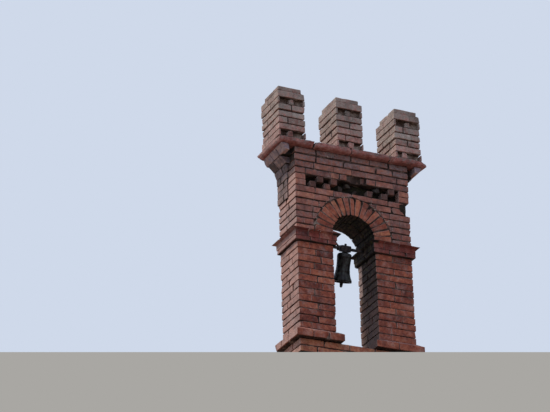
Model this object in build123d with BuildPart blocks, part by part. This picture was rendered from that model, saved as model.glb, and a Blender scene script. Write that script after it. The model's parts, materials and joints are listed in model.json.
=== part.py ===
import os
from math import atan2, ceil, cos, degrees, radians, sin

from build123d import *

# A small brick bell gable: two piers, a round arch, a chequered frieze, a moulded cornice
# and three merlons, with one bell hung on an iron bar in the arch.
# X runs along the wall, -Y is the front, and the origin is on the ground in the middle.

# Wall and piers
wall_width = 1240
wall_depth = 384
left_pier_width = 389
right_pier_width = 403
course = 69
mortar_joint = 9
joint_recess = 8

# Base and plinths
base_courses = 2
plinth_courses = 1
plinth_slope_height = 34
plinth_offset = 55

# Piers and imposts
pier_courses = 13
impost_fillet_height = 44
impost_fillet_offset = 26
impost_cap_height = 68
impost_cap_offset = 61
impost_lip_height = 16

# Arch
stilt_height = 24
ring_thickness = 187
voussoir_count = 17
voussoir_joint = 9
arch_mortar_recess = 10
extrados_bed = 7
crown_cover = 12

# Frieze
frieze_course = 62
frieze_rows = 2
frieze_end_width = 114
frieze_pocket_depth = 75
frieze_block_width = 68
frieze_blocks_per_row = 6
broken_front_block = 3

# Upper wall, consoles and cornice
upper_course = 71
upper_courses = 4
console_lower_courses = 3
console_lower_offset = 12
console_front_setback = 112
console_course_setback = 17
console_reach = 104
side_fillet_reach = 150
side_fillet_brick = 86
side_fillet_recess = 70
cornice_height = 58
cornice_side_overhang = 190
cornice_front_overhang = 61
cornice_roll_radius = 30
cornice_top_radius = 12
cornice_unit_joints = (-423, -21, 397)
cornice_joint = 7

# Merlons
merlon_width = 290
merlon_depth = 395
merlon_course = 71
merlon_inset = 6
merlon_courses = 6
merlon_pocket_width = 96
merlon_pocket_depth = 62
merlon_header_width = 62
merlon_gaps = (337, 355)
cap_slab_height = 70
cap_top_height = 48
cap_top_inset_side = 33
cap_top_inset_rear = 70
cap_top_inset_front = 6

# Bell, its bar and its clapper
bar_square = 22
bar_drop = 27
bar_socket_depth = 60
journal_radius = 9.5
journal_clearance = 0.5
bell_swing = 19
bell_shift = -3
headstock_length = 108
headstock_width = 46
headstock_height = 62
headstock_round = 9
knob_radius = 13
knob_height = 20
knob_chamfer = 4
bell_drop = 40
bell_height = 285
bell_shoulder_radius = 60
bell_shoulder_round = 24
bell_waist_radius = 66
bell_waist_depth = 171
bell_flare_radius = 76
bell_flare_depth = 224
bell_bow_radius = 96
bell_bow_height = 20
bell_lip_radius = 99
bell_bore_radius = 52
bell_bore_round = 16
bell_lip_wall = 16
crown_thickness = 12
crown_length = 52
crown_width = 33
crown_inset = 4
clapper_pivot_drop = 40
clapper_pin_radius = 5
clapper_pin_clearance = 0.4
clapper_rod_radius = 7
clapper_ring_radius = 14
clapper_ring_width = 12
clapper_flare_height = 34
clapper_ball_radius = 21
clapper_ball_band = 14
clapper_ball_rise = 22
clapper_tail_drop = 53
clapper_tail_radius = 13
clapper_tail_bevel = 7
ear_gap = 18
ear_thickness = 5
ear_radius = 9

# Iron stay between the bar and the arch
stay_width = 20
stay_thickness = 9
stay_collar_length = 20
stay_collar_wall = 8
stay_gap = 8
stay_lean = 38
stay_end_gap = 0.3

# Heights worked out from the courses, with as many over the imposts as the arch needs
base_top = base_courses * course
plinth_edge = base_top + plinth_courses * course
pier_bottom = plinth_edge + plinth_slope_height
impost_bottom = pier_bottom + pier_courses * course
impost_top = impost_bottom + impost_fillet_height + impost_cap_height
spring_height = impost_top + stilt_height
intrados = (wall_width - left_pier_width - right_pier_width) / 2
voussoir_outer = intrados + ring_thickness
extrados = voussoir_outer + extrados_bed
spandrel_courses = ceil((stilt_height + extrados + crown_cover) / course)
frieze_bottom = impost_top + spandrel_courses * course
frieze_height = frieze_rows * frieze_course
frieze_top = frieze_bottom + frieze_height
cornice_bottom = frieze_top + upper_courses * upper_course
cornice_top = cornice_bottom + cornice_height
merlon_top = cornice_top + merlon_courses * merlon_course
bar_height = impost_top - bar_drop

# Places worked out from the widths
half_width = wall_width / 2
half_depth = wall_depth / 2
opening_left = -half_width + left_pier_width
opening_right = half_width - right_pier_width
arch_centre = (opening_left + opening_right) / 2
bell_x = arch_centre + bell_shift
arch_axis_plane = Plane(origin=(arch_centre, half_depth, spring_height), x_dir=(1, 0, 0), z_dir=(0, -1, 0))

os.makedirs("parts", exist_ok=True)


def save(builder, name):
    builder.part.label = name
    export_step(builder.part, f"parts/{name}.step")


def raked_joint(middle, width, depth, height):
    """The ring of mortar that the weather has washed out of a wall along one bed joint."""
    with BuildSketch(Plane.XY.offset(height - mortar_joint / 2)) as ring:
        with Locations(middle):
            Rectangle(width, depth)
            Rectangle(width - 2 * joint_recess, depth - 2 * joint_recess, mode=Mode.SUBTRACT)
    return ring.sketch


# Base wall, two courses under both piers
with BuildPart() as base_wall:
    with BuildSketch(Plane.XY):
        Rectangle(wall_width, wall_depth)
    extrude(amount=base_top)
    for number in range(1, base_courses):
        joint = raked_joint((0, 0), wall_width, wall_depth, number * course)
        extrude(joint, mortar_joint, mode=Mode.SUBTRACT)
save(base_wall, "base_wall")


# Plinths, piers and imposts, the same on both sides but for the pier's width
def make_pier_stack(side, middle, width):
    with BuildPart() as plinth:
        with BuildSketch(Plane.XY.offset(base_top)):
            with Locations((middle, 0)):
                Rectangle(width + 2 * plinth_offset, wall_depth + 2 * plinth_offset)
        extrude(amount=plinth_edge - base_top)
        with BuildSketch(Plane.XY.offset(plinth_edge)):
            with Locations((middle, 0)):
                Rectangle(width + 2 * plinth_offset, wall_depth + 2 * plinth_offset)
        extrude(amount=plinth_slope_height, taper=degrees(atan2(plinth_offset, plinth_slope_height)))
    save(plinth, f"{side}_plinth")

    with BuildPart() as pier:
        with BuildSketch(Plane.XY.offset(pier_bottom)):
            with Locations((middle, 0)):
                Rectangle(width, wall_depth)
        extrude(amount=impost_bottom - pier_bottom)
        for number in range(1, pier_courses):
            joint = raked_joint((middle, 0), width, wall_depth, pier_bottom + number * course)
            extrude(joint, mortar_joint, mode=Mode.SUBTRACT)
    save(pier, f"{side}_pier")

    with BuildPart() as fillet_course:
        with BuildSketch(Plane.XY.offset(impost_bottom)):
            with Locations((middle, 0)):
                Rectangle(width + 2 * impost_fillet_offset, wall_depth + 2 * impost_fillet_offset)
        extrude(amount=impost_fillet_height)
    save(fillet_course, f"{side}_impost_fillet")

    with BuildPart() as impost_cap:
        with BuildSketch(Plane.XY.offset(impost_bottom + impost_fillet_height)):
            with Locations((middle, 0)):
                Rectangle(width + 2 * impost_cap_offset, wall_depth + 2 * impost_cap_offset)
        extrude(amount=impost_cap_height)
        underside = impost_cap.faces().sort_by(Axis.Z)[0]
        splay = impost_cap_offset - impost_fillet_offset
        chamfer(underside.edges(), splay, impost_cap_height - impost_lip_height, reference=underside)
        towards_bell = 1 if middle < bell_x else -1
        socket_end = middle + towards_bell * (width / 2 + impost_cap_offset - bar_socket_depth)
        with BuildSketch(Plane.YZ.offset(socket_end)):
            with Locations((0, bar_height)):
                Rectangle(bar_square, bar_square)
        extrude(amount=towards_bell * bar_socket_depth, mode=Mode.SUBTRACT)
    save(impost_cap, f"{side}_impost_cap")


left_middle = -half_width + left_pier_width / 2
right_middle = half_width - right_pier_width / 2
make_pier_stack("left", left_middle, left_pier_width)
make_pier_stack("right", right_middle, right_pier_width)

# Arch ring: wedge bricks with a mortar joint between each two, and a stilt under each foot
wedge_angle = 180 / voussoir_count
joint_angle = degrees(voussoir_joint / intrados)
with BuildPart() as arch_voussoirs:
    for index in range(voussoir_count):
        start = index * wedge_angle + joint_angle / 2
        end = (index + 1) * wedge_angle - joint_angle / 2
        with BuildSketch(arch_axis_plane):
            with BuildLine():
                inner = CenterArc((0, 0), intrados, start, end - start)
                outer = CenterArc((0, 0), voussoir_outer, start, end - start)
                Line(inner @ 0, outer @ 0)
                Line(inner @ 1, outer @ 1)
            make_face()
        extrude(amount=wall_depth)
save(arch_voussoirs, "arch_voussoirs")

with BuildPart() as arch_stilts:
    with BuildSketch(Plane.XY.offset(impost_top)):
        stilt_middle = intrados + ring_thickness / 2
        with Locations((arch_centre - stilt_middle, 0), (arch_centre + stilt_middle, 0)):
            Rectangle(ring_thickness, wall_depth)
    extrude(amount=stilt_height)
save(arch_stilts, "arch_stilts")

# The arch's mortar: the bed on the back of the ring and the joints between its bricks
with BuildPart() as arch_mortar:
    with BuildSketch(arch_axis_plane):
        with BuildLine():
            inner = CenterArc((0, 0), intrados + arch_mortar_recess, 0, 180)
            outer = CenterArc((0, 0), extrados, 0, 180)
            Line(inner @ 0, outer @ 0)
            Line(inner @ 1, outer @ 1)
        make_face()
    extrude(amount=wall_depth)
    for index in range(voussoir_count):
        start = index * wedge_angle + joint_angle / 2
        end = (index + 1) * wedge_angle - joint_angle / 2
        with BuildSketch(arch_axis_plane):
            with BuildLine():
                inner = CenterArc((0, 0), intrados, start, end - start)
                outer = CenterArc((0, 0), voussoir_outer, start, end - start)
                Line(inner @ 0, outer @ 0)
                Line(inner @ 1, outer @ 1)
            make_face()
        extrude(amount=wall_depth, mode=Mode.SUBTRACT)
save(arch_mortar, "arch_mortar")


# Spandrels, cut round the arch and split over its crown
def make_spandrel(side, outer_edge):
    low, high = sorted((outer_edge, arch_centre))
    with BuildPart() as spandrel:
        with BuildSketch(Plane.XY.offset(impost_top)):
            with Locations(((low + high) / 2, 0)):
                Rectangle(high - low, wall_depth)
        extrude(amount=frieze_bottom - impost_top)
        with BuildSketch(arch_axis_plane):
            Circle(extrados)
            with Locations((0, -extrados / 2)):
                Rectangle(2 * extrados, extrados, mode=Mode.SUBTRACT)
            with Locations((0, -stilt_height / 2)):
                Rectangle(2 * voussoir_outer, stilt_height)
        extrude(amount=wall_depth, mode=Mode.SUBTRACT)
        for number in range(1, spandrel_courses):
            joint = raked_joint((0, 0), wall_width, wall_depth, impost_top + number * course)
            extrude(joint, mortar_joint, mode=Mode.SUBTRACT)
    save(spandrel, f"{side}_spandrel")


make_spandrel("left", -half_width)
make_spandrel("right", half_width)

# Frieze: a set-back wall, an upright strip at each end and two staggered rows of blocks
backing_width = wall_width - 2 * frieze_end_width
with BuildPart() as frieze_backing:
    with BuildSketch(Plane.XY.offset(frieze_bottom)):
        Rectangle(backing_width, wall_depth - 2 * frieze_pocket_depth)
    extrude(amount=frieze_height)
save(frieze_backing, "frieze_backing")

for side, sign in (("left", -1), ("right", 1)):
    with BuildPart() as frieze_end:
        with BuildSketch(Plane.XY.offset(frieze_bottom)):
            with Locations((sign * (half_width - frieze_end_width / 2), 0)):
                Rectangle(frieze_end_width, wall_depth)
        extrude(amount=frieze_height)
    save(frieze_end, f"{side}_frieze_end")

block_pitch = backing_width / (frieze_blocks_per_row + 0.5)
block_middle_depth = half_depth - frieze_pocket_depth / 2
for face, face_sign in (("front", -1), ("rear", 1)):
    for row, row_name in enumerate(("lower", "upper")):
        first = -backing_width / 2 + block_pitch * (0.5 + row / 2)
        broken = broken_front_block if (face, row_name) == ("front", "upper") else None
        whole_blocks = [index for index in range(frieze_blocks_per_row) if index != broken]
        with BuildPart() as frieze_blocks:
            with BuildSketch(Plane.XY.offset(frieze_bottom + row * frieze_course)):
                for index in whole_blocks:
                    with Locations((first + index * block_pitch, face_sign * block_middle_depth)):
                        Rectangle(frieze_block_width, frieze_pocket_depth)
            extrude(amount=frieze_course)
        save(frieze_blocks, f"{face}_frieze_blocks_{row_name}")

# Upper wall
with BuildPart() as upper_wall:
    with BuildSketch(Plane.XY.offset(frieze_top)):
        Rectangle(wall_width, wall_depth)
    extrude(amount=cornice_bottom - frieze_top)
    for number in range(1, upper_courses):
        joint = raked_joint((0, 0), wall_width, wall_depth, frieze_top + number * upper_course)
        extrude(joint, mortar_joint, mode=Mode.SUBTRACT)
save(upper_wall, "upper_wall")

# Side consoles that lean out in a hollow curve, course by course, under the wall's top course
console_steps = upper_courses - 1
console_top = cornice_bottom - upper_course
console_bottom = frieze_top - console_lower_courses * course
side_fillet_front_reach = cornice_front_overhang - cornice_roll_radius


def console_offset(step):
    share = step / console_steps
    return console_lower_offset + (console_reach - console_lower_offset) * share**3


def leaning_course(front, inner_reach, low_reach, high_reach, bottom, top):
    """The end of a course beside the wall, whose outer face leans from one reach to another."""
    with BuildSketch(Plane.XZ.offset(-front)) as course_end:
        with BuildLine():
            Polyline(
                (half_width + inner_reach, bottom),
                (half_width + low_reach, bottom),
                (half_width + high_reach, top),
                (half_width + inner_reach, top),
                close=True,
            )
        make_face()
    return course_end.sketch


for side in ("left", "right"):
    with BuildPart() as console:
        for step in range(console_steps + 1):
            bottom = console_bottom if step == 0 else frieze_top + (step - 1) * upper_course
            top = frieze_top + step * upper_course
            front = -half_depth + console_front_setback + (console_steps - step) * console_course_setback
            low_reach = console_offset(max(step - 1, 0))
            course_end = leaning_course(front, 0, low_reach, console_offset(step), bottom, top)
            extrude(course_end, front - half_depth)
        if side == "left":
            mirror(about=Plane.YZ, mode=Mode.REPLACE)
    save(console, f"{side}_console")

    with BuildPart() as side_fillet:
        end_brick_reach = side_fillet_reach - side_fillet_brick
        for inner_reach, front, rear in (
            (0, -half_depth + side_fillet_recess, half_depth),
            (end_brick_reach, -half_depth - side_fillet_front_reach, half_depth + side_fillet_front_reach),
        ):
            course_end = leaning_course(
                front, inner_reach, console_reach, side_fillet_reach, console_top, cornice_bottom
            )
            extrude(course_end, front - rear)
        if side == "left":
            mirror(about=Plane.YZ, mode=Mode.REPLACE)
    save(side_fillet, f"{side}_side_fillet")

# Cornice: four moulded units with a round nose
cornice_half = half_width + cornice_side_overhang
cornice_ends = (-cornice_half, *cornice_unit_joints, cornice_half)
cornice_names = ("cornice_left", "cornice_mid_left", "cornice_mid_right", "cornice_right")
for index, name in enumerate(cornice_names):
    low = cornice_ends[index] + (cornice_joint / 2 if index > 0 else 0)
    high = cornice_ends[index + 1] - (cornice_joint / 2 if index < 3 else 0)
    with BuildPart() as cornice_unit:
        with BuildSketch(Plane.XY.offset(cornice_bottom)):
            Rectangle(2 * cornice_half, wall_depth + 2 * cornice_front_overhang)
        extrude(amount=cornice_height)
        fillet(cornice_unit.faces().sort_by(Axis.Z)[0].edges(), cornice_roll_radius)
        fillet(cornice_unit.faces().sort_by(Axis.Z)[-1].edges(), cornice_top_radius)
        with BuildSketch(Plane.XY.offset(cornice_bottom)):
            with Locations(((low + high) / 2, 0)):
                Rectangle(high - low, wall_depth + 2 * cornice_front_overhang)
        extrude(amount=cornice_height, mode=Mode.INTERSECT)
    save(cornice_unit, name)

# Merlons, each with two pockets in its lowest and highest course, and a two-step cap
merlon_front = -half_depth - cornice_front_overhang
merlon_left = -cornice_half + merlon_inset
for index, name in enumerate(("left", "middle", "right")):
    left_edge = merlon_left + index * merlon_width + sum(merlon_gaps[:index])
    middle_x = left_edge + merlon_width / 2
    middle_y = merlon_front + merlon_depth / 2 + merlon_inset
    pocket_x = (merlon_header_width + merlon_pocket_width) / 2
    pocket_y = (merlon_depth - merlon_pocket_depth) / 2
    with BuildPart() as merlon:
        with BuildSketch(Plane.XY.offset(cornice_top)):
            with Locations((middle_x, middle_y)):
                Rectangle(merlon_width, merlon_depth)
        extrude(amount=merlon_top - cornice_top)
        for pocket_bottom in (cornice_top + mortar_joint, merlon_top - merlon_course + mortar_joint):
            with BuildSketch(Plane.XY.offset(pocket_bottom)):
                with Locations((middle_x, middle_y)):
                    with Locations(
                        (-pocket_x, -pocket_y),
                        (pocket_x, -pocket_y),
                        (-pocket_x, pocket_y),
                        (pocket_x, pocket_y),
                    ):
                        Rectangle(merlon_pocket_width, merlon_pocket_depth)
            extrude(amount=merlon_course - mortar_joint, mode=Mode.SUBTRACT)
        for number in range(2, merlon_courses - 1):
            height = cornice_top + number * merlon_course
            joint = raked_joint((middle_x, middle_y), merlon_width, merlon_depth, height)
            extrude(joint, mortar_joint, mode=Mode.SUBTRACT)
    save(merlon, f"{name}_merlon")

    with BuildPart() as merlon_cap:
        with BuildSketch(Plane.XY.offset(merlon_top)):
            with Locations((middle_x, middle_y)):
                Rectangle(merlon_width, merlon_depth)
        extrude(amount=cap_slab_height)
        top_width = merlon_width - cap_top_inset_side - cap_top_inset_front
        top_depth = merlon_depth - cap_top_inset_rear - cap_top_inset_front
        top_x = middle_x + (cap_top_inset_front - cap_top_inset_side) / 2
        top_y = middle_y + (cap_top_inset_front - cap_top_inset_rear) / 2
        with BuildSketch(Plane.XY.offset(merlon_top + cap_slab_height)):
            with Locations((top_x, top_y)):
                Rectangle(top_width, top_depth)
        extrude(amount=cap_top_height)
    save(merlon_cap, f"{name}_merlon_cap")

# Hanging bar: square ends let into the imposts, and a round journal for the headstock
bar_left = opening_left + impost_cap_offset - bar_socket_depth
bar_right = opening_right - impost_cap_offset + bar_socket_depth
journal_left = bell_x - headstock_length / 2 - stay_gap / 2
journal_right = bell_x + headstock_length / 2 + stay_gap
with BuildPart() as hanging_bar:
    with BuildSketch(Plane.YZ.offset(bar_left)):
        with Locations((0, bar_height)):
            Rectangle(bar_square, bar_square)
    extrude(amount=journal_left - bar_left)
    with BuildSketch(Plane.YZ.offset(journal_left)):
        with Locations((0, bar_height)):
            Circle(journal_radius)
    extrude(amount=journal_right - journal_left)
    with BuildSketch(Plane.YZ.offset(journal_right)):
        with Locations((0, bar_height)):
            Rectangle(bar_square, bar_square)
    extrude(amount=bar_right - journal_right)
save(hanging_bar, "hanging_bar")

# Stay: a collar on the bar and a flat strap that leans to the left foot of the arch
collar_right = bell_x - headstock_length / 2 - stay_gap
collar_left = collar_right - stay_collar_length
stay_foot_x = (collar_left + collar_right) / 2
with BuildPart() as bar_stay:
    with BuildSketch(Plane.YZ.offset(collar_left)):
        with Locations((0, bar_height)):
            Rectangle(bar_square + 2 * stay_collar_wall, bar_square + 2 * stay_collar_wall)
            Rectangle(bar_square, bar_square, mode=Mode.SUBTRACT)
    extrude(amount=stay_collar_length)
    collar_top = bar_height + bar_square / 2 + stay_collar_wall
    rise = (cos(radians(stay_lean)), sin(radians(stay_lean)))
    stay_plane = Plane(
        origin=(stay_foot_x, 0, collar_top - stay_collar_wall / 2),
        x_dir=(0, 1, 0),
        z_dir=(-rise[1], 0, rise[0]),
    )
    with BuildSketch(stay_plane):
        Rectangle(stay_width, stay_thickness)
    extrude(amount=intrados)
    with BuildSketch(arch_axis_plane):
        Circle(intrados - stay_end_gap)
        with Locations((0, -intrados)):
            Rectangle(2 * (intrados - stay_end_gap), 2 * intrados)
    extrude(amount=wall_depth, mode=Mode.INTERSECT)
save(bar_stay, "bar_stay")

# The bell hangs swung back from the bar, so its pieces are drawn on planes that swing with it
swing = radians(bell_swing)
pivot = (bell_x, 0, bar_height)
up = (0, -sin(swing), cos(swing))
section_plane = Plane(origin=pivot, x_dir=(1, 0, 0), z_dir=(0, -cos(swing), -sin(swing)))
level_plane = Plane(origin=pivot, x_dir=(1, 0, 0), z_dir=up)
bell_axis = Axis(pivot, up)

with BuildPart() as headstock:
    with BuildSketch(section_plane):
        RectangleRounded(headstock_length, headstock_height, headstock_round)
    extrude(amount=headstock_width / 2, both=True)
    with BuildSketch(Plane.YZ.offset(bell_x - headstock_length / 2)):
        with Locations((0, bar_height)):
            Circle(journal_radius + journal_clearance)
    extrude(amount=headstock_length, mode=Mode.SUBTRACT)
save(headstock, "headstock")

with BuildPart() as hanger_nut:
    with BuildSketch(level_plane.offset(headstock_height / 2)):
        RegularPolygon(knob_radius, 6)
    extrude(amount=knob_height)
    chamfer(hanger_nut.faces().sort_by(bell_axis)[-1].edges(), knob_chamfer)
save(hanger_nut, "hanger_nut")

# Bell outline: bevelled shoulder, long waist, and a flare in two tapers down to the lip
lip_drop = bell_drop + bell_height
ceiling_drop = bell_drop + crown_thickness
waist_drop = bell_drop + bell_waist_depth
shoulder_turn = bell_shoulder_round * (1 - cos(radians(45)))
with BuildPart() as bell:
    with BuildSketch(section_plane):
        with BuildLine():
            shoulder = Polyline(
                (0, -bell_drop),
                (bell_shoulder_radius - bell_shoulder_round, -bell_drop),
                (bell_shoulder_radius - shoulder_turn, -bell_drop - shoulder_turn),
                (bell_shoulder_radius, -bell_drop - bell_shoulder_round),
            )
            waist = TangentArc(shoulder @ 1, (bell_waist_radius, -waist_drop), tangent=(0, -1))
            flare = Polyline(
                waist @ 1,
                (bell_flare_radius, -bell_drop - bell_flare_depth),
                (bell_bow_radius, -lip_drop + bell_bow_height),
                (bell_lip_radius, -lip_drop),
            )
            inside = Polyline(
                (0, -ceiling_drop),
                (bell_bore_radius - bell_bore_round, -ceiling_drop),
                (bell_bore_radius, -ceiling_drop - bell_bore_round),
                (bell_bore_radius, -waist_drop),
                (bell_lip_radius - bell_lip_wall, -lip_drop),
            )
            Line(inside @ 1, flare @ 1)
            Line(inside @ 0, shoulder @ 0)
        make_face()
    revolve(axis=bell_axis)
save(bell, "bell")

# Crown: the block of loops that joins the bell to the headstock
with BuildPart() as bell_crown:
    crown_height = bell_drop - headstock_height / 2
    with BuildSketch(level_plane.offset(-bell_drop)):
        Rectangle(crown_length, crown_width)
    extrude(amount=crown_height, taper=degrees(atan2(crown_inset, crown_height)))
save(bell_crown, "bell_crown")

# Clapper eye: two ears inside the crown with a pin between them
side_plane = Plane(origin=pivot, x_dir=(0, cos(swing), sin(swing)), z_dir=(1, 0, 0))
pin_drop = bell_drop + clapper_pivot_drop
with BuildPart() as clapper_eye:
    for direction in (-1, 1):
        with BuildSketch(side_plane.offset(direction * ear_gap / 2)):
            with Locations((0, -(ceiling_drop + pin_drop) / 2)):
                Rectangle(2 * ear_radius, pin_drop - ceiling_drop)
            with Locations((0, -pin_drop)):
                Circle(ear_radius)
        extrude(amount=direction * ear_thickness)
    with BuildSketch(side_plane.offset(-ear_gap / 2)):
        with Locations((0, -pin_drop)):
            Circle(clapper_pin_radius)
    extrude(amount=ear_gap)
save(clapper_eye, "clapper_eye")

# Clapper: a ring on the pin, and a rod forged out to a ball with flat flanks and a blunt tail
ball_drop = lip_drop - clapper_ball_rise
tail_drop = lip_drop + clapper_tail_drop
ring_bore = clapper_pin_radius + clapper_pin_clearance
rod_top_drop = pin_drop + (clapper_ring_radius + ring_bore) / 2
with BuildPart() as clapper:
    with BuildSketch(section_plane):
        with BuildLine():
            outline = Polyline(
                (0, -rod_top_drop),
                (clapper_rod_radius, -rod_top_drop),
                (clapper_rod_radius, -ball_drop + clapper_flare_height),
                (clapper_ball_radius, -ball_drop + clapper_ball_band / 2),
                (clapper_ball_radius, -ball_drop - clapper_ball_band / 2),
                (clapper_tail_radius, -tail_drop + clapper_tail_bevel),
                (clapper_tail_radius - clapper_tail_bevel, -tail_drop),
                (0, -tail_drop),
            )
            Line(outline @ 1, outline @ 0)
        make_face()
    revolve(axis=bell_axis)
    with BuildSketch(side_plane.offset(-clapper_ring_width / 2)):
        with Locations((0, -pin_drop)):
            Circle(clapper_ring_radius)
            Circle(ring_bore, mode=Mode.SUBTRACT)
    extrude(amount=clapper_ring_width)
save(clapper, "clapper")
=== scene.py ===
import json
import math
import random

import bmesh
import bpy
from mathutils import Matrix, Vector, noise


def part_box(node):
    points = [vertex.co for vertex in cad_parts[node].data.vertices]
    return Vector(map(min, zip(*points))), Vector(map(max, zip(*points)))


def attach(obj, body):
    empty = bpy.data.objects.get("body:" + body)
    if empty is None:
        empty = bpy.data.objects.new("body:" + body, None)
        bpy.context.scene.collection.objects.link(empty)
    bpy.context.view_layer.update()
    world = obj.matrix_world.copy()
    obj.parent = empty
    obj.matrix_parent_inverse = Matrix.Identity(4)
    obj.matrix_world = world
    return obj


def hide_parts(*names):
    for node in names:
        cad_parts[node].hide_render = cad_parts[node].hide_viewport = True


# A small brick bell gable, dressed brick by brick over its frame.
# Lengths are metres. X runs along the wall, -Y is the front.

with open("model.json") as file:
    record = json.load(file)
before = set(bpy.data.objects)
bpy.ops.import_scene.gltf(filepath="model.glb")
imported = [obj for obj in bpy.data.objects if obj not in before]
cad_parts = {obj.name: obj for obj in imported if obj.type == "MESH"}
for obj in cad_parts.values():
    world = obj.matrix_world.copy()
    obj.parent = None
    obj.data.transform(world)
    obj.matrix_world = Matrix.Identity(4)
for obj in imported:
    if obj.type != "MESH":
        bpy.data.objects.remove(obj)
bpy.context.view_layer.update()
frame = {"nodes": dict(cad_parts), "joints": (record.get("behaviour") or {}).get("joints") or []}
dice = random.Random(41)

# How a course is laid: its height, its joints and how far a brick may sit back or tilt
COURSE = 0.069
BED_JOINT = 0.009
HEAD_JOINT = 0.0035
TIGHT_JOINT = 0.001
JOINT_DEPTH = 0.0085
SETBACK = 0.005
TILT = 0.45
OPEN = (False, False)

# How a brick wears: blunt edges, uneven faces, chipped corners and spalled edges
ARRIS = 0.0026
WOBBLE = 0.0026
CHIP = 0.018
SPALL = (0.006, 0.012)
SPALL_MARGIN = 0.02
SHARP = math.radians(35)
WAVES = ((11, 1.0), (60, 0.7))
BENDS = ((0, 0.036, 7), (1, 0.075, 3))

# How far mortar washes out, and how closely its surface is cut up for that
MORTAR_SPACING = 0.03
MORTAR_WAVES = 26
WASHOUT = 0.0085

# The mesh layer that keeps each brick's own shade, moss, soot and worn edges
LAYING = "laying"

# Corners of the frame's pieces that the brickwork is set out from
LEFT_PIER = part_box("left_pier")
RIGHT_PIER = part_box("right_pier")
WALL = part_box("upper_wall")
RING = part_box("arch_voussoirs")
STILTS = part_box("arch_stilts")

SPRING = STILTS[1].z
ARCH_X = (LEFT_PIER[1].x + RIGHT_PIER[0].x) / 2
INTRADOS = (RIGHT_PIER[0].x - LEFT_PIER[1].x) / 2
RING_OUTER = (STILTS[1].x - STILTS[0].x) / 2
EXTRADOS = RING_OUTER + 0.007


# Mesh helpers

def box_block(low, high):
    block = bmesh.new()
    bmesh.ops.create_cube(block, size=1)
    low, high = Vector(low), Vector(high)
    bmesh.ops.scale(block, vec=high - low, verts=block.verts)
    bmesh.ops.translate(block, vec=(low + high) / 2, verts=block.verts)
    return block


def whole(block):
    return list(block.verts) + list(block.edges) + list(block.faces)


def cut_away(block, point, outward):
    """Cuts off what lies outwards of a plane, and closes the cut."""
    cut = bmesh.ops.bisect_plane(
        block, geom=whole(block), dist=1e-6, plane_co=point, plane_no=outward, clear_outer=True
    )
    rim = [piece for piece in cut["geom_cut"] if isinstance(piece, bmesh.types.BMEdge)]
    if rim:
        bmesh.ops.edgeloop_fill(block, edges=rim)


def cut_to(block, low, high):
    for axis in (0, 1):
        outward = Vector((0, 0, 0))
        outward[axis] = 1
        cut_away(block, high, outward)
        cut_away(block, low, -outward)


def score(block, axis, stops):
    """Adds a ring of edges across the block at each stop, so that wear can bend it there."""
    normal = Vector((0, 0, 0))
    normal[axis] = 1
    for stop in stops:
        bmesh.ops.bisect_plane(block, geom=whole(block), dist=1e-6, plane_co=normal * stop, plane_no=normal)


def evenly(start, end, cuts):
    """The places of a number of cuts that part a length evenly."""
    return [start + (end - start) * (k + 1) / (cuts + 1) for k in range(cuts)]


def extent(block, axis):
    values = [vert.co[axis] for vert in block.verts]
    return min(values), max(values)


def elsewhere():
    """A far-off spot in the noise, so that no two blocks wear alike."""
    return Vector((dice.uniform(0, 50), dice.uniform(0, 50), dice.uniform(0, 50)))


def any_shade(middle, spread, least, most):
    return max(least, min(most, dice.gauss(middle, spread)))


def wear(block, low, high, arris=ARRIS, wobble=WOBBLE, chips=1, chip_size=CHIP, spalls=0, shut=OPEN):
    """Dulls the arrises, bends the faces, knocks off corners and spalls long edges, inside low to high."""
    worn = block.faces.layers.int.new("worn")
    shut_ends = [end for end, closed in zip(extent(block, 0), shut) if closed]
    sharp = [
        edge
        for edge in block.edges
        if edge.calc_face_angle(0) > SHARP
        and not any(all(abs(vert.co.x - end) < 1e-4 for vert in edge.verts) for end in shut_ends)
    ]
    rounded = bmesh.ops.bevel(
        block,
        geom=sharp,
        offset=arris * dice.uniform(0.6, 1.5),
        offset_type="OFFSET",
        segments=1,
        profile=0.5,
        affect="EDGES",
        material=-1,
        clamp_overlap=True,
    )
    for face in rounded["faces"]:
        face[worn] = 1
    for axis, spacing, most in BENDS:
        start, end = extent(block, axis)
        score(block, axis, evenly(start, end, min(most, int((end - start) / spacing))))
    corners = [
        Vector((x, y, z)) for x in (low[0], high[0]) for y in (low[1], high[1]) for z in (low[2], high[2])
    ]
    knocked = [
        (corner, chip_size * dice.uniform(0.4, 1.6)) for corner in dice.sample(corners, min(chips, 8))
    ]
    for corner in dice.choices(corners, k=spalls):
        along = Vector((dice.uniform(low[0] + SPALL_MARGIN, high[0] - SPALL_MARGIN), corner.y, corner.z))
        knocked.append((along, dice.uniform(*SPALL)))
    middle = (Vector(low) + Vector(high)) / 2
    seed = elsewhere()
    for vert in block.verts:
        place = vert.co.copy()
        for waves, share in WAVES:
            vert.co += noise.noise_vector(place * waves + seed) * wobble * share
        for corner, reach in knocked:
            near = (place - corner).length
            if near < reach:
                vert.co += (middle - place).normalized() * (reach - near) * 0.6
        vert.co = Vector(max(low[k], min(high[k], vert.co[k])) for k in range(3))


def new_pile():
    pile = bmesh.new()
    pile.loops.layers.float_color.new(LAYING)
    return pile


def lay(pile, block, shade, moss=0.0, soot=0.0, finish=0, side_moss=0.0):
    """Adds a finished block to a pile, with its own shade, moss and soot kept on its corners."""
    bmesh.ops.recalc_face_normals(block, faces=block.faces)
    laying = block.loops.layers.float_color.new(LAYING)
    worn = block.faces.layers.int.get("worn")
    for face in block.faces:
        face.material_index = finish
        arris = float(face[worn]) if worn is not None else 0.0
        # Faces along X take side moss too: moss and painted shade on the upper wall's ends under the consoles
        moss_and_side_shade = max(moss, side_moss) if abs(face.normal.x) > 0.7 else moss
        for loop in face.loops:
            loop[laying] = (shade, moss_and_side_shade, soot, arris)
    passing = bpy.data.meshes.new("passing")
    block.to_mesh(passing)
    block.free()
    pile.from_mesh(passing)
    bpy.data.meshes.remove(passing)


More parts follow.
